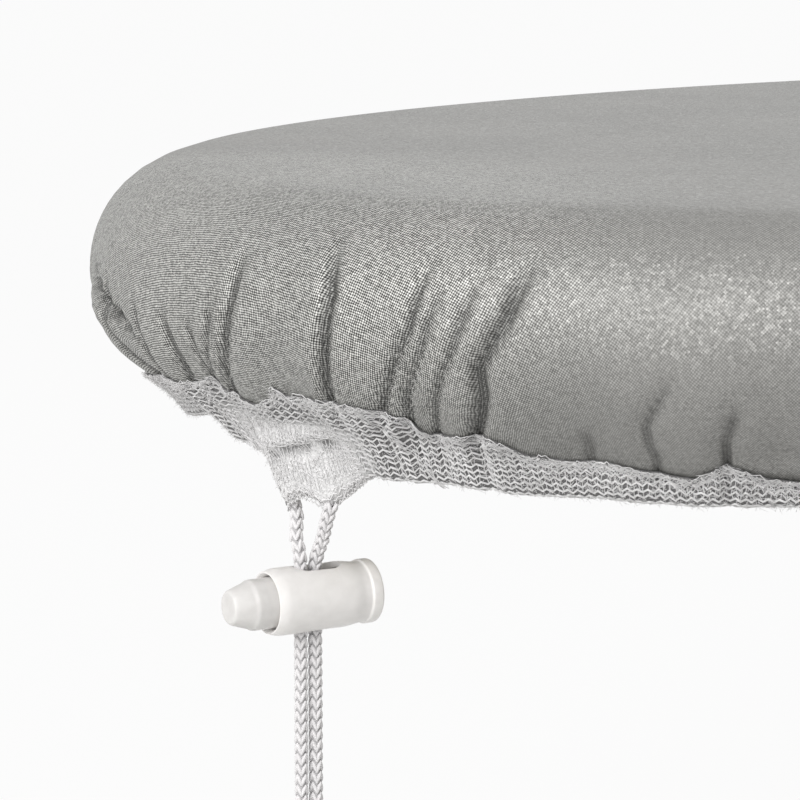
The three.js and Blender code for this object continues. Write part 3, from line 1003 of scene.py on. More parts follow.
@dataclass(frozen=True)
class PuckerChance:
    """Ranges for the puckers that the photo doesn't show."""

    start: float = 44.0
    near_reach: float = 180.0
    near_width: tuple[float, float] = (0.9, 1.5)
    far_width: tuple[float, float] = (2.2, 3.2)
    top: tuple[float, float] = (22.0, 34.0)
    lean: tuple[float, float] = (-9.0, 9.0)
    depth: tuple[float, float] = (0.7, 1.7)
    strands: tuple[int, int] = (1, 4)
    strand_gap: float = 2.3
    nose_reach: float = 420.0
    tail_reach: float = 260.0
    bent_gap: tuple[float, float] = (9.0, 19.0)
    straight_gap: tuple[float, float] = (22.0, 44.0)

    def draw(self, chance: np.random.Generator, s: float, hem: float) -> Pucker:
        """Draw one pucker.

        Args:
            chance: Source of random numbers.
            s: Its place at the hem.
            hem: Distance down the profile at the hem.

        Returns:
            The pucker.
        """
        width = chance.uniform(*(self.near_width if abs(s) < self.near_reach else self.far_width))
        top, lean, depth = (chance.uniform(*limits) for limits in (self.top, self.lean, self.depth))
        line = ((top, s + lean), (0.5 * (top + hem), s + 0.35 * lean), (hem, s))
        return Pucker(line, depth, width, int(chance.integers(*self.strands)), self.strand_gap * width)


@dataclass(frozen=True)
class SideFlap:
    """Slanted fold beside the nose, where the skirt laps over itself."""

    middle: float = 44.0
    reach: float = 14.0
    line_start: tuple[float, float] = (56.0, 30.5)
    slant: float = 0.33
    crease_width: float = 0.9
    crease_depth: float = 1.5
    roll_below: float = 3.6
    roll_width: float = 2.8
    roll_height: float = 1.2
    full_place: tuple[float, float] = (46.0, 43.0)
    full_reach: tuple[float, float] = (24.0, 9.0)
    full_height: float = 2.2

    def pull(self, s: Array, v: Array) -> tuple[Array, Array]:
        """How far the fold draws the skin in, and its crease line.

        Args:
            s: Signed distances round the hem.
            v: Distances down the profile.

        Returns:
            Inward distances and a mask of the crease, for painted shade.
        """
        below = v - (self.line_start[1] + (self.line_start[0] - s) * self.slant)
        fade = bell(s - self.middle, self.reach, 4)
        crease = bell(below, self.crease_width)
        roll = bell(below - self.roll_below, self.roll_width)
        full = bell(s - self.full_place[0], self.full_reach[0]) * bell(v - self.full_place[1], self.full_reach[1])
        fold = fade * (self.crease_depth * crease - self.roll_height * roll)
        return fold - self.full_height * full, fade * crease


@dataclass(frozen=True)
class TapeOverlap:
    """Fold above the exit, where the tape's doubled upper band laps over the tabs."""

    middle: float = -4.0
    reach: float = 12.0
    level: float = 5.4
    slant: float = 0.13
    slant_limits: tuple[float, float] = (-16.0, 8.0)
    crease_width: float = 0.55
    crease_depth: float = 0.8
    roll_above: float = 1.6
    roll_width: float = 1.2

    def push(self, s: Array, along: Array) -> tuple[Array, Array]:
        """How far the fold stands out, and its crease line.

        Args:
            s: Signed distances round the hem.
            along: Distances down the tape.

        Returns:
            Outward distances and a mask of the crease, for painted shade on the ribbon.
        """
        near = bell(s - self.middle, self.reach, 4)
        below = along - (self.level + self.slant * np.clip(s, *self.slant_limits))
        crease = near * bell(below, self.crease_width)
        return near * bell(below + self.roll_above, self.roll_width) - self.crease_depth * crease, crease


@dataclass(frozen=True)
class CoverForm:
    """Worn form of the cover: profile from the flat top to the hem, with its gathers."""

    outline: CoverOutline
    shoulder: float = 20.0
    skirt_drop: float = 17.8
    skirt_tuck: float = 10.5
    hem_tilt: float = math.radians(46)
    cord_along: float = 9.55
    tab_drop: float = 9.4
    tab_reach: tuple[float, float] = (18.5, 21.5)
    tab_curve: tuple[float, float] = (1.0, 1.5)
    tab_share: tuple[float, float] = (1.0, 0.88)
    tab_place: tuple[float, float] = (4.2, -7.0)
    tab_notch: float = 0.3
    tape_width: float = 12.0
    bend_reach: float = 3.0
    pucker_chance: PuckerChance = PuckerChance()
    flap: SideFlap = SideFlap()
    overlap: TapeOverlap = TapeOverlap()
    seed: int = SEED

    @cached_property
    def profile(self) -> dict[str, Array]:
        """Sample the smooth profile from the crown's edge to the hem.

        Returns:
            Run, inset, height and inward normal.
        """
        angle = np.linspace(0.0, math.pi / 2, 400)
        drop = np.linspace(0.0, 1.0, 400)[1:]
        base = TOP_Z - self.shoulder
        inset = np.concatenate([self.shoulder * (1 - np.sin(angle)), self.skirt_tuck * drop ** 2])
        z = np.concatenate([base + self.shoulder * np.cos(angle), base - self.skirt_drop * drop])
        run = np.concatenate([[0.0], np.cumsum(np.hypot(np.diff(inset), np.diff(z)))])
        level = np.interp(run, [24.0, 38.0], [1.0, 0.12])
        in_z = np.gradient(inset, run) * level
        in_inset = np.sqrt(1 - in_z ** 2)
        return {"run": run, "inset": inset, "z": z, "in_inset": in_inset, "in_z": in_z}

    @property
    def hem_run(self) -> float:
        """Distance down the profile at the hem."""
        return float(self.profile["run"][-1])

    @cached_property
    def puckers(self) -> tuple[Pucker, ...]:
        """Collect the photographed puckers and others like them round the rest of the hem.

        Returns:
            All the puckers.
        """
        chance = np.random.default_rng(self.seed)
        made = list(PHOTOGRAPHED_PUCKERS)
        limit = self.outline.girth / 2
        ranges = self.pucker_chance
        place = ranges.start
        while place < 2 * limit + NEAR_START:
            s = place if place < limit else place - 2 * limit
            made.append(ranges.draw(chance, s, self.hem_run))
            bent = abs(s) < ranges.nose_reach or abs(s) > limit - ranges.tail_reach
            place += chance.uniform(*(ranges.bent_gap if bent else ranges.straight_gap))
        return tuple(made)

    def gather(self, s: Array, v: Array) -> tuple[Array, Array, Array]:
        """How far all the gathers draw the skin in, in millimetres, and where it is creased.

        Args:
            s: Signed distances, one per column.
            v: Distances down the profile, one per row.

        Returns:
            Inward distances, a mask of the creases for painted shade and the distance from the nearest one's middle,
            which lays that painted shade in lines, each rows by columns.
        """
        s = self.outline.wrap(s)
        v = np.minimum(np.asarray(v, float), self.hem_run)[:, None]
        growth = np.interp(v, [20.0, 31.4, 42.0, self.hem_run], [0.0, 0.18, 0.55, 1.0])
        total = growth * self.outline.fold(s)[None, :]
        crease = np.zeros_like(total)
        crease_across = np.zeros_like(total)
        for pucker in self.puckers:
            middle = pucker.line[-1][1]
            near = np.abs(self.outline.wrap(s - middle)) < 16.0 + 12.0 * pucker.width
            local = middle + self.outline.wrap(s[near] - middle)
            pull, band, across = pucker.pull(local[None, :], v)
            total[:, near] += pull
            crease_across[:, near] = np.where(band > crease[:, near], across, crease_across[:, near])
            crease[:, near] = np.maximum(crease[:, near], band)
        lap, edge = self.flap.pull(s[None, :], v)
        return total + lap, np.maximum(crease, edge), np.where(edge > crease, 0.0, crease_across)

    def lift(self, s: Array) -> Array:
        """How far up the skirt the tape's upper edge lies, from the hem line.

        Args:
            s: Signed distances round the hem.

        Returns:
            Distances up: as photographed near the nose, and a gentle wave round the rest.
        """
        s = self.outline.wrap(s)
        far = 0.8 * np.sin(s / 7.3) + 0.6 * np.sin(s / 3.1 + 1.0)
        known = unit((130.0 - np.abs(s + 30.0)) / 30.0)
        return known * np.interp(s, *zip(*PHOTOGRAPHED_TAPE_EDGE)) + (1 - known) * far

    def hug(self, s: Array, along: Array) -> Array:
        """How far the tape's upper edge is drawn back to the skin, where it lies below the hem line."""
        stand_off = np.interp(along, [0.0, 3.6, self.cord_along], [0.0, 0.43, 1.53])
        return stand_off * unit(1 - (along + self.lift(s)) / 2.6)

    def ease(self, s: Array, along: Array) -> Array:
        """Share of the gathers that is left towards the cord, which runs smoother than the hem line."""
        aside = unit((np.abs(self.outline.wrap(s)) - 22.0) / 8.0)
        return 1 - 0.6 * aside * unit(along / 8.0)

    def tilt(self, s: Array) -> Array:
        """Slope of the hem tape under the board, from upright, more beside the nose."""
        return self.hem_tilt + math.radians(24.0) * bell(self.outline.wrap(s) - 39.0, 15.0)

    def droop(self, s: Array) -> Array:
        """How far the tape's lower edge hangs at the cord's exit, lowest where each tail leaves.

        Args:
            s: Signed distances round the hem.

        Returns:
            Distances down.
        """
        left, right = self.tab_place
        spread = (left - right) / 2
        apart = self.outline.wrap(s) - (left + right) / 2
        away = np.abs(apart)
        reach, curve = (np.where(apart < 0, pair[1], pair[0]) for pair in (self.tab_reach, self.tab_curve))
        share = np.interp(apart, [-spread, spread], self.tab_share[::-1])
        outside = unit(1 - (away - spread) / (reach - spread)) ** curve
        inside = 1 - self.tab_notch * unit(1 - (away / spread) ** 2)
        return self.tab_drop * share * np.where(away < spread, inside, outside)

    def smooth_form(self, v: Array) -> tuple[Array, ...]:
        """Inset, height and inward normal of the smooth profile at distances down it."""
        return tuple(np.interp(v, self.profile["run"], self.profile[key]) for key in ("inset", "z", "in_inset", "in_z"))

    def skin(self, s: Array, v: Array, depth: float) -> Array:
        """Points of the skin.

        Args:
            s: Signed distances, one per column.
            v: Distances down the profile, one per row, less than zero on the flat top.
            depth: Distance of the surface below the outer one.

        Returns:
            Points, rows by columns by 3.
        """
        v = np.asarray(v, float)
        inset, z, in_inset, in_z = self.smooth_form(v)
        inset = inset + np.maximum(-v, 0.0)
        beyond = np.maximum(v - self.hem_run, 0.0)[:, None]
        tilt = self.tilt(s)[None, :]
        pull = self.gather(s, v)[0] * self.ease(np.asarray(s)[None, :], beyond) + depth
        inset = inset[:, None] + pull * in_inset[:, None] + beyond * np.sin(tilt)
        z = z[:, None] + pull * in_z[:, None] - beyond * np.cos(tilt)
        return self.outline.place(np.asarray(s)[None, :], inset, z)

    def hem(self, s: Array, along: Array, out: Array) -> Array:
        """Points of the hem's folded tape.

        Args:
            s: Signed distances, one per column.
            along: Distances down the tape from the hem line, rows by columns.
            out: Distances out from the tape's middle sheet, of the same shape.

        Returns:
            Points, rows by columns by 3.
        """
        s = np.asarray(s, float)
        along, out, wide = np.broadcast_arrays(along, out, s[None, :])
        lap = self.overlap.push(self.outline.wrap(wide), along)[0]
        out = out + np.where(out > 0.0, lap - self.hug(wide, along), 0.0)
        v = np.minimum(self.hem_run + along, self.hem_run)
        inset, z, in_inset, in_z = self.smooth_form(v)
        levels = np.linspace(self.hem_run - 10.0, self.hem_run, 9)
        sampled = self.gather(s, levels)[0]
        slot = np.clip((v - levels[0]) / (levels[1] - levels[0]), 0.0, 7.999)
        low = slot.astype(int)
        column = np.broadcast_to(np.arange(len(s)), low.shape)
        part = slot - low
        pull = (sampled[low, column] * (1 - part) + sampled[low + 1, column] * part) * self.ease(wide, along)
        tilt = np.broadcast_to(self.tilt(s)[None, :], v.shape)
        share = unit(along / self.bend_reach)
        flat_z = np.interp(v, self.profile["run"], np.gradient(self.profile["inset"], self.profile["run"]))
        normal_inset = np.sqrt(1 - flat_z ** 2) * (1 - share) + np.cos(tilt) * share
        normal_z = flat_z * (1 - share) + np.sin(tilt) * share
        ahead = np.maximum(along, 0.0)
        hanging = (along - self.bend_reach) / (self.tape_width - self.bend_reach)
        fall = self.droop(s)[None, :] * np.clip(hanging, 0.0, 1.1)
        inset = inset + pull * in_inset - out * normal_inset + ahead * np.sin(tilt)
        z = z + pull * in_z - out * normal_z - ahead * np.cos(tilt) - fall
        return self.outline.place(wide, inset, z)


def columns(outline: CoverOutline, bands: list[tuple[float, float, float]], coarse: float) -> Array:
    """Signed distances round the outline, close together in bands near the nose.

    Args:
        outline: Outline that they lie on.
        bands: Start, end and step of each fine band, in order.
        coarse: Step outside the bands.

    Returns:
        Rising distances that start at the first band and go once round.
    """
    made = [np.arange(start, end, step) for start, end, step in bands]
    begin = bands[-1][1]
    finish = bands[0][0] + outline.girth
    count = int(round((finish - begin) / coarse))
    made.append(np.linspace(begin, finish, count, endpoint=False))
    return np.concatenate(made)


# ---------------------------------------------------------------- sub-assemblies


@dataclass
class CoverSkin:
    """Metallised skin: flat top, rounded shoulder and puckered skirt, closed to a thin shell."""

    form: CoverForm
    thickness: float = 0.45
    turned_in: float = 7.0
    fine_step: float = 0.4
    coarse_step: float = 2.6

    def rows(self) -> Array:
        """Space the rows of points, closer together down the skirt.

        Returns:
            Distances down the profile.
        """
        hem = self.form.hem_run
        return np.concatenate(
            [[-40.0, -16.0, 0.0, 4.0, 8.0, 12.0, 15.5, 18.0], np.arange(20.0, 30.5, 2.0),
             np.arange(32.0, hem - 1.0, 1.9), [hem, hem + 2.5, hem + self.turned_in]]
        )

    def build(self, material: Material) -> Object:
        """Loft the shell and give it cloth coordinates.

        Args:
            material: Finish of the cloth.

        Returns:
            The skin.
        """
        outline = self.form.outline
        s = columns(
            outline,
            [(-300, NEAR_START, 1.3), (NEAR_START, NEAR_END, self.fine_step), (NEAR_END, 190, 1.3)],
            self.coarse_step,
        )
        v = self.rows()
        outer = self.form.skin(s, v, 0.0)
        inner = self.form.skin(s, v[::-1], self.thickness)
        grid = np.concatenate([outer, inner])
        mesh = new_mesh("cover_skin", grid.reshape(-1, 3), capped_faces(len(grid), len(s)))
        levels = np.concatenate([v, v[::-1]])
        self.lay_cloth(mesh, s, levels)
        # the crease masks paint shade into the cloth's colour
        for name, values in zip(("crease", "crease_across"), self.form.gather(s, levels)[1:]):
            mark(mesh, name, values)
        return new_object("cover_skin", mesh, material)

    def lay_cloth(self, mesh: Mesh, s: Array, v: Array) -> None:
        """Write cloth coordinates in metres: the place of each point before the edge was drawn down.

        Args:
            mesh: Mesh of the shell.
            s: Signed distances of the columns.
            v: Distances down the profile of the rows.
        """
        corner = np.empty(len(mesh.loops), int)
        mesh.loops.foreach_get("vertex_index", corner)
        flat = self.form.outline.place(s[None, :], self.form.shoulder - v[:, None], 0.0)[..., :2].reshape(-1, 2)
        mesh.uv_layers.new(name="cloth").data.foreach_set("uv", (flat[corner] * MM).astype(np.float32).ravel())


@dataclass(frozen=True)
class Course:
    """Place of one knit course on the folded tape, and the way across it."""

    along: float
    out: float
    way: tuple[float, float]
    above: float = ANY_LIFT
    stretch: Stretch = Stretch.STRAIGHT


@dataclass
class HemTape:
    """Folded warp-knit tape: ribbon, zigzag courses, ladder threads, edge yarn and fuzz."""

    form: CoverForm
    thickness: float = 0.3
    casing_radius: float = 1.95
    course_pitch: float = 1.28
    stitch_pitch: float = 1.85
    zigzag: float = 0.38
    yarn_radius: float = 0.2
    course_rise: float = 0.12
    edge_margin: float = 0.3
    inner_end: float = 0.3
    thread_radius: float = 0.085
    fuzz_radius: float = 0.032
    seed: int = SEED

    def outer_out(self, along: Array) -> Array:
        """How far the outer wing stands out at a distance down the tape."""
        cord = self.form.cord_along
        return np.interp(along, [-9.0, 0.0, 3.6, cord], [0.36, 0.42, 0.85, self.casing_radius])

    def inner_out(self, along: Array) -> Array:
        """How far the inner wing stands in, as a distance below zero."""
        cord = self.form.cord_along
        return np.interp(along, [0.0, 3.6, cord], [-0.9, -1.2, -self.casing_radius])

    def section(self, s: Array) -> tuple[Array, Array]:
        """Folded section at each column, from the outer edge round the casing to the inner edge.

        Args:
            s: Signed distances of the columns.

        Returns:
            Distances along and out, rows by columns.
        """
        cord = self.form.cord_along
        upper = -self.form.lift(s)[None, :] - self.edge_margin
        part = np.linspace(0.0, 1.0, 13)[:, None]
        outer = upper + (cord - upper) * part
        turn = np.linspace(math.pi / 2, -math.pi / 2, 9)[1:-1, None]
        bottom_along = np.broadcast_to(cord + self.casing_radius * np.cos(turn), (7, len(s)))
        bottom_out = np.broadcast_to(self.casing_radius * np.sin(turn), (7, len(s)))
        inner = np.broadcast_to(np.linspace(cord, self.inner_end, 9)[:, None], (9, len(s)))
        along = np.vstack([outer, bottom_along, inner])
        out = np.vstack([self.outer_out(outer), bottom_out, self.inner_out(inner)])
        return along, out

    def ribbon(self, material: Material) -> Object:
        """Loft the folded ribbon that carries the yarns.

        Args:
            material: Finish of the ribbon.

        Returns:
            The ribbon, closed all round.
        """
        bands = [(-260, NEAR_START, 1.2), (NEAR_START, NEAR_END, 0.5), (NEAR_END, 150, 1.2)]
        s = columns(self.form.outline, bands, 3.2)
        along, out = self.section(s)
        outer = self.form.hem(s, along, out)
        lean = np.arctan2(np.gradient(out, axis=0), np.gradient(along, axis=0))
        inner = self.form.hem(s, along + self.thickness * np.sin(lean), out - self.thickness * np.cos(lean))
        loop = np.concatenate([outer, inner[::-1], outer[:1]])
        faces = np.array(loft_faces(len(loop), len(s))) % ((len(loop) - 1) * len(s))
        mesh = new_mesh("hem_tape", loop[:-1].reshape(-1, 3), [tuple(face) for face in faces.tolist()])
        near = self.form.outline.wrap(s)
        doubled = unit((24.0 - np.abs(near + 2.0)) / 9.0) * unit((along + 0.5) / 1.5)
        # the "fold" mask paints shade on the ribbon along the overlap's crease
        folded = self.form.overlap.push(near, along)[1]
        for name, values in (("close", doubled), ("fold", 0.8 * folded)):
            mark(mesh, name, np.concatenate([values, values[::-1]]))
        return new_object("hem_tape", mesh, material)

    def course_guides(self, courses: list[Course], pitch: float) -> Mesh:
        """Guide lines of knit courses, with the way across them and the side of each zigzag.

        Args:
            courses: The courses.
            pitch: Length of one zigzag.

        Returns:
            A mesh of polylines with "across" and "swing" attributes.
        """
        count = 2 * int(round(self.form.outline.girth / pitch))
        s = np.linspace(-0.5, 0.5, count, endpoint=False) * self.form.outline.girth
        points: list[Array] = []
        across: list[Array] = []
        edges: list[tuple[int, int]] = []
        hang = self.form.droop(s)
        for number, course in enumerate(courses):
            low, high = course.stretch.value
            present = (self.form.lift(s) > course.above) & (hang > low) & (hang < high)
            along = np.full((1, count), course.along)
            out = np.full((1, count), course.out)
            line = self.form.hem(s, along, out)[0]
            way = self.form.hem(s, along + 0.2 * course.way[0], out + 0.2 * course.way[1])[0] - line
            points.append(line)
            across.append(way / np.linalg.norm(way, axis=1)[:, None])
            follow = np.roll(present, -1)
            start = number * count
            edges += [(start + k, start + (k + 1) % count) for k in np.flatnonzero(present & follow).tolist()]
        mesh = new_mesh("course_guides", np.vstack(points), [], edges)
        mesh.attributes.new("across", "FLOAT_VECTOR", "POINT").data.foreach_set("vector", np.vstack(across).ravel())
        mark(mesh, "swing", np.tile([-1.0, 1.0], len(courses) * count // 2))
        return mesh

    @property
    def levels(self) -> Array:
        """Distances down the tape of the outer wing's courses."""
        return np.arange(1.0, self.form.cord_along - 0.4, self.course_pitch)

    def outer_course(self, along: float, rise: float, above: float, stretch: Stretch) -> Course:
        """Course on the outer wing."""
        return Course(along, float(self.outer_out(along)) + rise, (1.0, 0.1), above, stretch)

    def courses(self, yarn: Material) -> list[Object]:
        """Grow the zigzag courses of the outer wing, the casing and the inner wing.

        Args:
            yarn: Finish of the yarn.

        Returns:
            The courses, in pieces.
        """
        tree = knit_course_tree()
        cord, pitch, rise = self.form.cord_along, self.course_pitch, self.course_rise
        reach = self.casing_radius + rise
        under = [
            Course(cord + reach * math.cos(a), reach * math.sin(a), (math.sin(a), -math.cos(a)))
            for a in np.linspace(math.radians(78), math.radians(-70), 6)
        ]
        pieces = {
            "knit_outer": [self.outer_course(a, rise, -a - 0.2, Stretch.STRAIGHT) for a in self.levels],
            "knit_casing": under + [replace(course, stretch=Stretch.HANGING) for course in under],
            "knit_inner": [
                Course(a, float(self.inner_out(a)) - rise, (-1.0, 0.1), stretch=Stretch.WHOLE)
                for a in np.arange(cord - 1.2, 0.6, -pitch)
            ],
            "knit_raised": [
                self.outer_course(a, rise, -a + 0.2, Stretch.WHOLE) for a in np.arange(1.0 - pitch, -7.5, -pitch)
            ],
        }
        shared = {"Zigzag Height": self.zigzag * MM, "Yarn Radius": self.yarn_radius * MM, "Unevenness": 0.1 * MM,
                  "Seed": self.seed, "Yarn": yarn}
        made = [
            tree.grow(name, self.course_guides(places, self.stitch_pitch), shared) for name, places in pieces.items()
        ]
        dense = [self.outer_course(a, 0.02, ANY_LIFT, Stretch.TABS) for a in np.arange(0.9, cord + 1.6, 0.6)]
        tight = shared | {"Zigzag Height": 0.26 * MM, "Yarn Radius": 0.125 * MM, "Unevenness": 0.16 * MM}
        made.append(tree.grow("knit_tabs", self.course_guides(dense, 0.55 * self.stitch_pitch), tight))
        return made

    def edge_guides(self, strands: int) -> Mesh:
        """Guide lines of the loose yarns along the tape's upper edge and of the slanted end beside the exit.

        Args:
            strands: Number of strands side by side.

        Returns:
            A mesh of polylines.
        """
        chance = np.random.default_rng(self.seed + 1)
        girth = self.form.outline.girth
        s = np.concatenate([np.arange(-260.0, 150.0, 0.55), np.arange(150.0, girth - 260.0, 1.6)])
        points: list[Array] = []
        edges: list[tuple[int, int]] = []
        for strand in range(strands):
            loose = np.convolve(chance.normal(0.0, 0.8, len(s)), np.ones(3) / 3, "same")
            level = (-self.form.lift(s) - self.edge_margin + 0.26 * strand + loose)[None, :]
            out = self.outer_out(level) + 0.16 + 0.1 * chance.normal(0.0, 1.0, len(s))[None, :]
            start = strand * len(s)
            points.append(self.form.hem(s, level, out)[0])
            edges += [(start + k, start + (k + 1) % len(s)) for k in range(len(s))]
        for strand in range(3):
            part = np.linspace(0.0, 1.0, 26)
            place = -27.5 - 0.4 * strand - 9.5 * part + 0.12 * chance.normal(0.0, 1.0, 26)
            level = -7.0 + 18.0 * part
            out = self.outer_out(level) + 0.42
            start = sum(len(line) for line in points)
            spots = ((place[k:k + 1], level[k:k + 1], out[k:k + 1]) for k in range(len(part)))
            points.append(np.stack([self.form.hem(*spot)[0, 0] for spot in spots]))
            edges += [(start + k, start + after) for k, after in chain(len(part))]
        return new_mesh("edge_guides", np.vstack(points), [], edges)

    def ladder_guides(self, step: float) -> Mesh:
        """Short guide lines between neighbouring courses.

        Args:
            step: Distance between threads.

        Returns:
            A mesh of loose edges.
        """
        chance = np.random.default_rng(self.seed + 2)
        lines: list[Array] = []
        for high, low in zip(self.levels[:-1], self.levels[1:]):
            s = np.arange(0.0, self.form.outline.girth, step)
            s = s + chance.normal(0.0, 0.12, len(s))
            s = s[self.form.lift(s) > -high - 0.2]
            lean = chance.normal(0.0, 0.25, len(s))
            both = [
                self.form.hem(place, np.full((1, len(s)), level), np.full((1, len(s)), self.outer_out(level) + 0.1))[0]
                for place, level in ((s, high), (s + lean, low))
            ]
            lines.append(np.stack(both, axis=1).reshape(-1, 3))
        points = np.vstack(lines)
        return new_mesh("ladder_guides", points, [], chain(len(points), 2))

    def fuzz_guides(self, count: int) -> Mesh:
        """Guide lines of loose fibre ends on the outer wing.

        Args:
            count: Number of fibres.

        Returns:
            A mesh of loose edges.
        """
        chance = np.random.default_rng(self.seed + 3)
        s = np.where(
            chance.random(count) < 0.5, chance.uniform(-115.0, 62.0, count), chance.uniform(-1480.0, 1480.0, count)
        )
        part = chance.random(count) ** 2
        upper = -self.form.lift(s) - 0.5
        level = (upper + (self.form.cord_along + 1.0 - upper) * part)[None, :]
        root = self.form.hem(s, level, self.outer_out(level) + 0.1)[0]
        tip = self.form.hem(
            s + chance.normal(0.0, 0.7, count), level + chance.normal(0.0, 0.45, count),
            self.outer_out(level) + 0.35 + np.abs(chance.normal(0.0, 0.3, count)),
        )[0]
        points = np.stack([root, tip], axis=1).reshape(-1, 3)
        return new_mesh("fuzz_guides", points, [], chain(len(points), 2))

    def build(self, ground: Material, yarn: Material) -> list[Object]:
        """Make the whole tape.

        Args:
            ground: Finish of the ribbon.
            yarn: Finish of the yarns.

        Returns:
            The ribbon first, then what lies on it.
        """
        made = [self.ribbon(ground)]
        made += self.courses(yarn)
        threads = thread_tree()
        for name, guide, radius in (
            ("knit_ladder", self.ladder_guides(0.93), self.thread_radius),
            ("edge_yarn", self.edge_guides(7), self.thread_radius),
            ("tape_fuzz", self.fuzz_guides(14000), self.fuzz_radius),
        ):
            made.append(threads.grow(name, guide, {"Thread Radius": radius * MM, "Sides": 3, "Yarn": yarn}))
        return made


@dataclass
class KnitCord:
    """Round knit cord of the hem: the part in the casing, both tails and the knot that ties them."""

    form: CoverForm
    yarn: Material
    shaded: Material
    diameter: float = 2.5
    stitch_pitch: float = 1.85
    strands: int = 8
    knot_reach: float = 3.1

    left: tuple = (
        (-591.112, 3.510, -47.534), (-591.15, 3.381, -47.802), (-591.407, 2.52, -49.589),
        (-592.49, 1.343, -52.934), (-592.49, 0.393, -55.334), (-592.49, 0.243, -57.534),
        *((-592.49, 0.243, z) for z in TAIL_LEVELS),
    )
    right: tuple = (
        (-591.112, -6.5, -46.4), (-591.1, -6.25, -46.9), (-590.9, -5.0, -49.3),
        (-590.1, -2.8, -52.934), (-589.8, -1.2, -55.334), (-589.733, -0.37, -57.534),
        *((-589.733, -0.243, z) for z in TAIL_LEVELS),
    )

    def dress(self, tree: GrowTree, name: str, path: Array) -> Object:
        """Dress a path as knit cord.

        Args:
            tree: Tree that grows the stitches.
            name: Name of the piece.
            path: Points of the centre line.

        Returns:
            The cord.
        """
        guide = new_mesh(f"{name}_path", path, [], chain(len(path)))
        radius = self.diameter / 2
        values = {
            "Stitch Pitch": self.stitch_pitch * MM,
            "Ring Radius": 0.7 * radius * MM,
            "Core Radius": 0.66 * radius * MM,
            "Stitch Tilt": math.radians(25),
            "Stitch Size": (0.30 * radius * MM, 0.31 * radius * MM, 0.66 * self.stitch_pitch * MM),
            "Strands": self.strands,
            "Yarn": self.yarn,
            "Painted Shade Core Yarn": self.shaded,
        }
        piece = tree.grow(name, guide, values)
        if piece.data.materials[0] is None:
            piece.data.materials.pop(index=0)
        return piece

    def tails(self, tree: GrowTree) -> list[tuple[Object, Array]]:
        """Make both tails, from the casing's mouths to the knot.

        Args:
            tree: Tree that grows the stitches.

        Returns:
            Each tail with its path.
        """
        made = []
        for name, points in (("tail_left", self.left), ("tail_right", self.right)):
            path = even_path(smooth_path(np.array(points), 0.4), 0.9)
            made.append((self.dress(tree, name, path), path))
        return made

    def casing_part(self) -> Object:
        """Make the cord that runs unseen in the casing, as a plain tube.

        Returns:
            The cord.
        """
        girth = self.form.outline.girth
        bands = ((6.0, NEAR_END, 0.8), (NEAR_END, girth + NEAR_START, 2.0), (girth + NEAR_START, girth - 5.9, 0.5))
        s = np.concatenate([np.arange(*band) for band in bands])
        level = np.full((1, len(s)), self.form.cord_along)
        line = self.form.hem(s, level, np.zeros_like(level))[0]
        path = np.vstack([self.left[:1], line, self.right[:1]])
        radius = np.full(len(path), self.diameter / 2 - 0.05)
        radius[[0, -1]] = 0.6
        radius[[1, -2]] = 0.9
        return new_object("casing_cord", tube_mesh("casing_cord", path, radius, 8), self.yarn)

    def knot(self, tree: GrowTree) -> Object:
        """Overhand knot of both tails with their short ends, and the cord that leads into it.

        Args:
            tree: Tree that grows the stitches.

        Returns:
            The knot as one piece.
        """
        centre = np.array([-591.11, 0.0, -208.9])
        turn = np.linspace(0.0, 2 * math.pi, 90)
        parts = []
        for k, phase in enumerate((0.0, 0.55)):
            at = turn + phase
            loop = np.stack(
                [np.sin(at) + 2 * np.sin(2 * at), np.cos(at) - 2 * np.cos(2 * at), -2.6 * np.sin(3 * at)], axis=1
            )
            path = centre + loop * (self.knot_reach / 3) * (1.0 if k == 0 else 0.94)
            parts.append(self.dress(tree, f"knot_turn_{k}", path))
        for k, side in enumerate((-1.0, 1.0)):
            start = centre + np.array([side * 1.4, 0.0, -3.0])
            tip = centre + np.array([side * 3.2, side * 0.4, -19.0])
            middle = centre + np.array([side * 1.6, 0.0, -10.0])
            path = even_path(smooth_path(np.array([start, middle, tip]), 0.5), 0.9)
            parts.append(self.dress(tree, f"knot_end_{k}", path))
        for k, route in enumerate((self.left, self.right)):
            inside = centre + np.array([(route[-1][0] - centre[0]) * 0.6, 0.0, 0.5])
            parts.append(self.dress(tree, f"knot_lead_{k}", even_path(np.array([route[-1], inside]), 0.9)))
        with bpy.context.temp_override(
            active_object=parts[0], object=parts[0], selected_objects=parts, selected_editable_objects=parts
        ):
            bpy.ops.object.join()
        parts[0].name = "end_knot_cord"
        parts[0].data.name = "end_knot_cord"
        return parts[0]


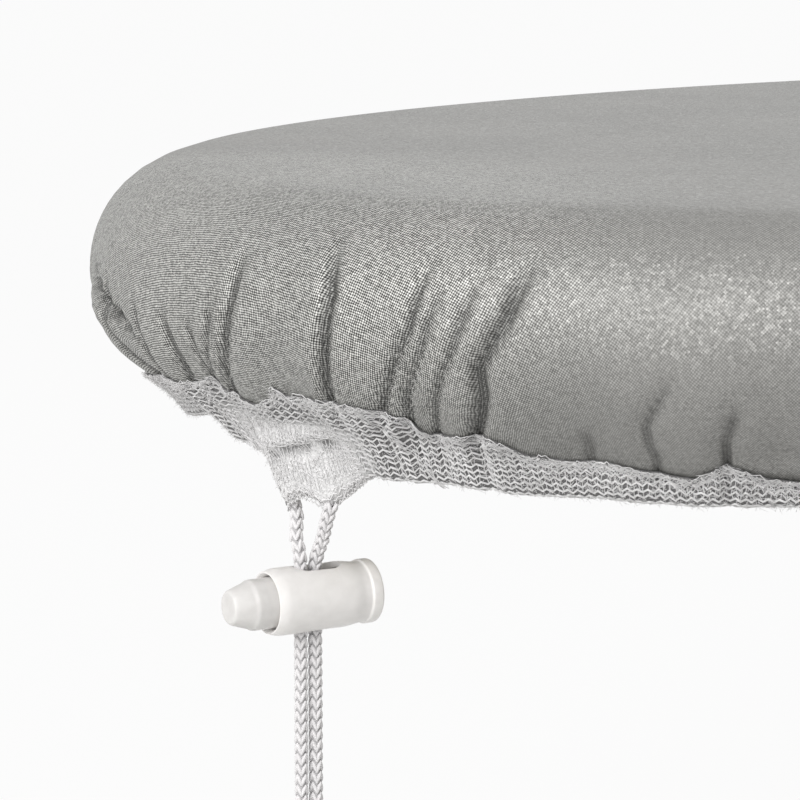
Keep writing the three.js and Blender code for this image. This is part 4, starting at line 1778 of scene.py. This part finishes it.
@dataclass
class CordLock:
    """Sprung cord lock: slotted barrel, tapered plunger and coil spring."""

    front: tuple[float, float, float] = (-598.941, 1.381, -63.334)
    axis: tuple[float, float, float] = (0.984808, -0.173648, 0.0)
    barrel_radius: float = 5.8
    barrel_length: float = 20.0
    bore_radius: float = 4.65
    bore_end: float = 18.4
    slot_start: float = 5.0
    slot_end: float = 14.0
    slot_width: float = 4.6
    plunger_slot_shift: float = -3.1
    plunger_face: float = -7.2
    plunger_end: float = 12.4
    spring_coil: float = 2.8
    spring_wire: float = 0.25
    spring_turns: float = 3.5

    def frame(self) -> Matrix:
        """Place the lock's own axes, with X from the plunger to the rear.

        Returns:
            The place, in metres.
        """
        along = Vector(self.axis)
        up = Vector((0.0, 0.0, 1.0))
        side = up.cross(along)
        turned = Matrix((along, side, up)).transposed().to_4x4()
        return Matrix.Translation(Vector(self.front) * MM) @ turned

    def slotted(
        self, name: str, blank: Mesh, start: float, end: float, edge: float, material: Material
    ) -> Object:
        """Cut an upright oval slot through a turned solid and round its edges.

        Args:
            name: Name of the piece.
            blank: Turned solid in the lock's axes.
            start: Front of the slot.
            end: Rear of the slot.
            edge: Rounding of the slot's edges.
            material: Finish of the plastic.

        Returns:
            The slotted piece, in its place.
        """
        radius = self.slot_width / 2
        turn = np.linspace(-math.pi / 2, math.pi / 2, 17)
        rear = np.stack([end - radius + radius * np.cos(turn), radius * np.sin(turn)], axis=1)
        fore = np.stack([start + radius - radius * np.cos(turn), -radius * np.sin(turn)], axis=1)
        ring = np.vstack([rear, fore])
        count = len(ring)
        points = np.vstack([np.column_stack([ring, np.full(count, z)]) for z in (-CUT_REACH, CUT_REACH)])
        faces = [(k, (k + 1) % count, count + (k + 1) % count, count + k) for k in range(count)]
        faces += [tuple(range(count - 1, -1, -1)), tuple(range(count, 2 * count))]
        cutter = new_object(f"{name}_cutter", new_mesh(f"{name}_cutter", points, faces))
        host = new_object(f"{name}_blank", blank)
        cut = host.modifiers.new("slot", "BOOLEAN")
        cut.operation = "DIFFERENCE"
        cut.solver = "EXACT"
        cut.object = cutter
        bevel = host.modifiers.new("edge", "BEVEL")
        bevel.limit_method = "ANGLE"
        bevel.angle_limit = math.radians(40)
        bevel.width = edge * MM
        bevel.segments = 3
        piece = baked(host, name)
        bpy.data.meshes.remove(cutter.data)
        smooth_faces(piece.data)
        piece.data.set_sharp_from_angle(angle=math.radians(35))
        piece.data.materials.clear()
        piece.data.materials.append(material)
        piece.data.transform(self.frame())
        return piece

    def barrel(self, material: Material) -> Object:
        """Turn and slot the barrel: rounded front rim, slight taper, neck and thin rear lip.

        Args:
            material: Finish of the plastic.

        Returns:
            The barrel.
        """
        big, long = self.barrel_radius, self.barrel_length
        profile = rounded_profile([
            (long, 0.0, 0.0), (long, 5.55, 0.5), (long - 2.0, 5.6, 0.35), (long - 2.25, 5.3, 0.3),
            (long - 3.4, 5.3, 0.9), (long - 5.6, big - 0.12, 1.2), (1.6, big, 0.8), (0.0, big - 0.45, 0.75),
            (0.0, 5.12, 0.2), (0.75, self.bore_radius, 0.25), (self.bore_end, self.bore_radius, 0.3),
            (self.bore_end, 0.0, 0.0),
        ])
        blank = lathe_mesh("barrel_blank", profile, 96)
        return self.slotted("lock_barrel_moulding", blank, self.slot_start, self.slot_end, 0.3, material)

    def plunger(self, material: Material) -> Object:
        """Turn and slot the plunger: flat face, cone, small step and a round shank.

        Args:
            material: Finish of the plastic.

        Returns:
            The plunger.
        """
        face = self.plunger_face
        profile = rounded_profile([
            (self.plunger_end, 0.0, 0.0), (self.plunger_end, 4.3, 0.4), (0.8, 4.35, 0.0), (face + 4.0, 4.35, 0.3),
            (face + 3.4, 4.0, 0.25), (face + 0.5, 3.05, 0.35), (face, 2.75, 0.35), (face, 1.2, 0.5),
            (face + 0.12, 0.0, 0.0),
        ])
        blank = lathe_mesh("plunger_blank", profile, 72)
        start = self.slot_start + self.plunger_slot_shift
        end = self.slot_end + self.plunger_slot_shift - 1.5
        return self.slotted("lock_plunger_moulding", blank, start, end, 0.2, material)

    def spring(self, material: Material) -> Object:
        """Wind the coil spring between the plunger and the rear wall.

        Args:
            material: Finish of the wire.

        Returns:
            The spring.
        """
        start, end = self.plunger_end + self.spring_wire, self.bore_end - self.spring_wire
        turn = np.linspace(0.0, 1.0, 150)
        run = start + (end - start) * np.clip((turn - 0.12) / 0.76, 0.0, 1.0)
        angle = 2 * math.pi * (self.spring_turns + 1.0) * turn
        radius = self.spring_coil - self.spring_wire
        path = np.stack([run, radius * np.cos(angle), radius * np.sin(angle)], axis=1)
        mesh = tube_mesh("lock_spring_wire", path, self.spring_wire, 10)
        mesh.transform(self.frame())
        return new_object("lock_spring_wire", mesh, material)


@dataclass
class FoamPad:
    """Foam pad under the skin, flat below and rounded along its upper edge."""

    form: CoverForm
    thickness: float = 6.0
    clearance: float = 0.9

    def build(self, material: Material) -> Object:
        """Loft the pad.

        Args:
            material: Finish of the foam.

        Returns:
            The pad.
        """
        s = columns(self.form.outline, [(-150, 150, 3.0)], 4.0)
        reach = self.form.shoulder - self.clearance
        base = TOP_Z - self.form.shoulder
        angles = np.linspace(0.0, math.acos(-base / reach), 7)
        inset = np.concatenate([[40.0], self.form.shoulder - reach * np.sin(angles), [8.0, 14.0, 40.0]])
        z = np.concatenate([[self.thickness], base + reach * np.cos(angles), [0.0, 0.0, 0.0]])
        grid = self.form.outline.place(s[None, :], inset[:, None], z[:, None])
        mesh = new_mesh("foam_sheet", grid.reshape(-1, 3), capped_faces(len(inset), len(s)))
        return new_object("foam_sheet", mesh, material)


@dataclass
class Studio:
    """Camera, soft light and pale floor."""

    eye: tuple[float, float, float] = (-884.1, -377.6, 49.1)
    gaze: tuple[float, float, float] = (-578.4, -9.3, -29.3)
    lens: float = 129.2
    floor_z: float = -262.0
    floor_reach: float = 30000.0
    floor_glow: float = 0.93
    ambient: float = 0.58
    key_power: float = 13.0
    sheen_power: float = 0.8

    @staticmethod
    def hang(name: str, data: ID, place: tuple, target: tuple, scale: float = 1.0) -> Object:
        """Link a camera or light to the scene and aim it.

        Args:
            name: Name of the object.
            data: Camera or light.
            place: Its place.
            target: Point that it faces.
            scale: Metres in one unit of both.

        Returns:
            The object.
        """
        made = bpy.data.objects.new(name, data)
        made.location = Vector(place) * scale
        made.rotation_euler = (Vector(target) - Vector(place)).to_track_quat("-Z", "Y").to_euler()
        bpy.context.scene.collection.objects.link(made)
        return made

    def camera(self) -> None:
        """Set the camera of the photographed view."""
        data = bpy.data.cameras.new("camera")
        data.lens = self.lens
        data.sensor_width = 36.0
        data.clip_start = 0.01
        scene = bpy.context.scene
        scene.camera = self.hang("camera", data, self.eye, self.gaze, MM)
        scene.view_settings.view_transform = "Standard"

    @staticmethod
    def seen(made: NodeMaker) -> NodeSocket:
        """Add a value that is 1 for rays from the camera, a mirror or glass.

        Args:
            made: Tree to add the nodes to.

        Returns:
            The value.
        """
        rays = made.node("ShaderNodeLightPath").outputs
        direct = made.math("MAXIMUM", rays["Is Camera Ray"], rays["Is Glossy Ray"])
        return made.math("MAXIMUM", direct, rays["Is Transmission Ray"])

    def surroundings(self) -> None:
        """White background for the eye, softer light for the object."""
        world = bpy.data.worlds.new("studio")
        world.use_nodes = True
        made = NodeMaker(world.node_tree)
        sky = made.tree.nodes["Background"].inputs
        made.feed(sky["Strength"], made.span(self.seen(made), self.ambient, 1.0))
        made.feed(sky["Color"], (1.0, 1.0, 1.0, 1.0))
        bpy.context.scene.world = world

    def floor(self) -> None:
        """Pale floor that looks white, keeps a faint shadow and is clear from below."""
        made = ShaderTree("studio_floor")
        made.tree.nodes.clear()
        matte = made.out("ShaderNodeBsdfDiffuse", {"Color": (0.78, 0.78, 0.77, 1.0)})
        glow = made.out("ShaderNodeEmission", {"Strength": 1.0})
        share = made.math("MULTIPLY", self.seen(made), self.floor_glow)
        above = made.out("ShaderNodeMixShader", {0: share, 1: matte, 2: glow})
        back = made.node("ShaderNodeNewGeometry").outputs["Backfacing"]
        clear = made.out("ShaderNodeBsdfTransparent")
        both = made.out("ShaderNodeMixShader", {0: back, 1: above, 2: clear})
        made.node("ShaderNodeOutputMaterial", {"Surface": both})
        corners = [(x * self.floor_reach, y * self.floor_reach, self.floor_z) for x, y in SQUARE]
        mesh = new_mesh("studio_floor", np.array(corners), [(0, 1, 2, 3)])
        new_object("studio_floor", mesh, made.material)

    def lamp(self, name: str, place: tuple, target: tuple, size: float, power: float) -> None:
        """Hang a square soft light.

        Args:
            name: Name of the light.
            place: Its place in metres.
            target: Point that it faces.
            size: Side of the light in metres.
            power: Power in watts.
        """
        data = bpy.data.lights.new(name, "AREA")
        data.size = size
        data.energy = power
        self.hang(name, data, place, target)

    def build(self) -> None:
        """Light the scene."""
        self.surroundings()
        self.floor()
        self.lamp("key", (-1.53, -0.38, 0.58), (-0.55, 0.0, 0.0), 0.8, self.key_power)
        self.lamp("sheen", (0.6, 1.05, 0.4), (-0.25, 0.0, 0.0), 0.8, self.sheen_power)


# ---------------------------------------------------------------- the whole


def place_on(piece: Object, body: Body, slot: Slot, *nodes: str) -> None:
    """Let a piece ride on a body and hide the CAD nodes that it stands for.

    Args:
        piece: Piece to attach.
        body: Body that it moves with.
        slot: Not used.
        nodes: CAD nodes that it replaces.
    """
    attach(piece, body.value)
    if nodes:
        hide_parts(*nodes)
    LOG.info("%s rides on %s, %d faces", piece.name, body.value, len(piece.data.polygons))


def main() -> None:
    """Build the cover piece by piece."""
    logging.basicConfig(level=logging.INFO, format="%(message)s")
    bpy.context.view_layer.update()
    studio = Studio()
    studio.camera()
    form = CoverForm(CoverOutline())

    yarn = KnitYarn("knit_yarn", (0.8, 0.79, 0.79), (0.58, 0.57, 0.57)).material()
    ground = TapeGround().material()
    cord_yarn = KnitYarn("cord_yarn", (0.76, 0.745, 0.75), (0.62, 0.605, 0.61), 3200.0).material()
    # painted shade: the core yarn is a greyer copy of the cord yarn, seen between the stitches
    cord_core = KnitYarn("cord_core", (0.48, 0.47, 0.475), (0.36, 0.355, 0.36), 3200.0).material()

    cord = KnitCord(form, cord_yarn, cord_core)
    stitches = knit_cord_tree()
    knot = cord.knot(stitches)
    place_on(knot, Body.COVER, Slot.CORD, "end_knot")
    for tail, path in cord.tails(stitches):
        place_on(tail, Body.COVER, Slot.CORD, f"cord_{tail.name}")
    place_on(cord.casing_part(), Body.COVER, Slot.CORD, "drawstring")

    skin = CoverSkin(form).build(MetallisedCotton().material())
    place_on(skin, Body.COVER, Slot.SKIN, "cover_fabric")
    tape = HemTape(form).build(ground, yarn)
    for number, piece in enumerate(tape):
        place_on(piece, Body.COVER, Slot.TAPE, *(["binding_tape"] if number == 0 else []))
    pad = FoamPad(form).build(PadFoam().material())
    place_on(pad, Body.COVER, Slot.FOAM, "foam_pad")

    lock = CordLock()
    shell = LockPlastic("barrel_plastic", (0.86, 0.835, 0.815), (0.81, 0.785, 0.765)).material()
    place_on(lock.barrel(shell), Body.LOCK, Slot.PLASTIC, "lock_barrel")
    # painted shade: the plunger's plastic is a greyer copy of the barrel's
    pin = LockPlastic("plunger_plastic", (0.67, 0.655, 0.64), (0.62, 0.605, 0.59)).material()
    place_on(lock.plunger(pin), Body.PLUNGER, Slot.PLASTIC, "lock_plunger")
    spring = lock.spring(SpringSteel().material())
    place_on(spring, Body.LOCK, Slot.STEEL, "lock_spring")
    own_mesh(spring)

    studio.build()


if __name__ == "__main__":
    main()
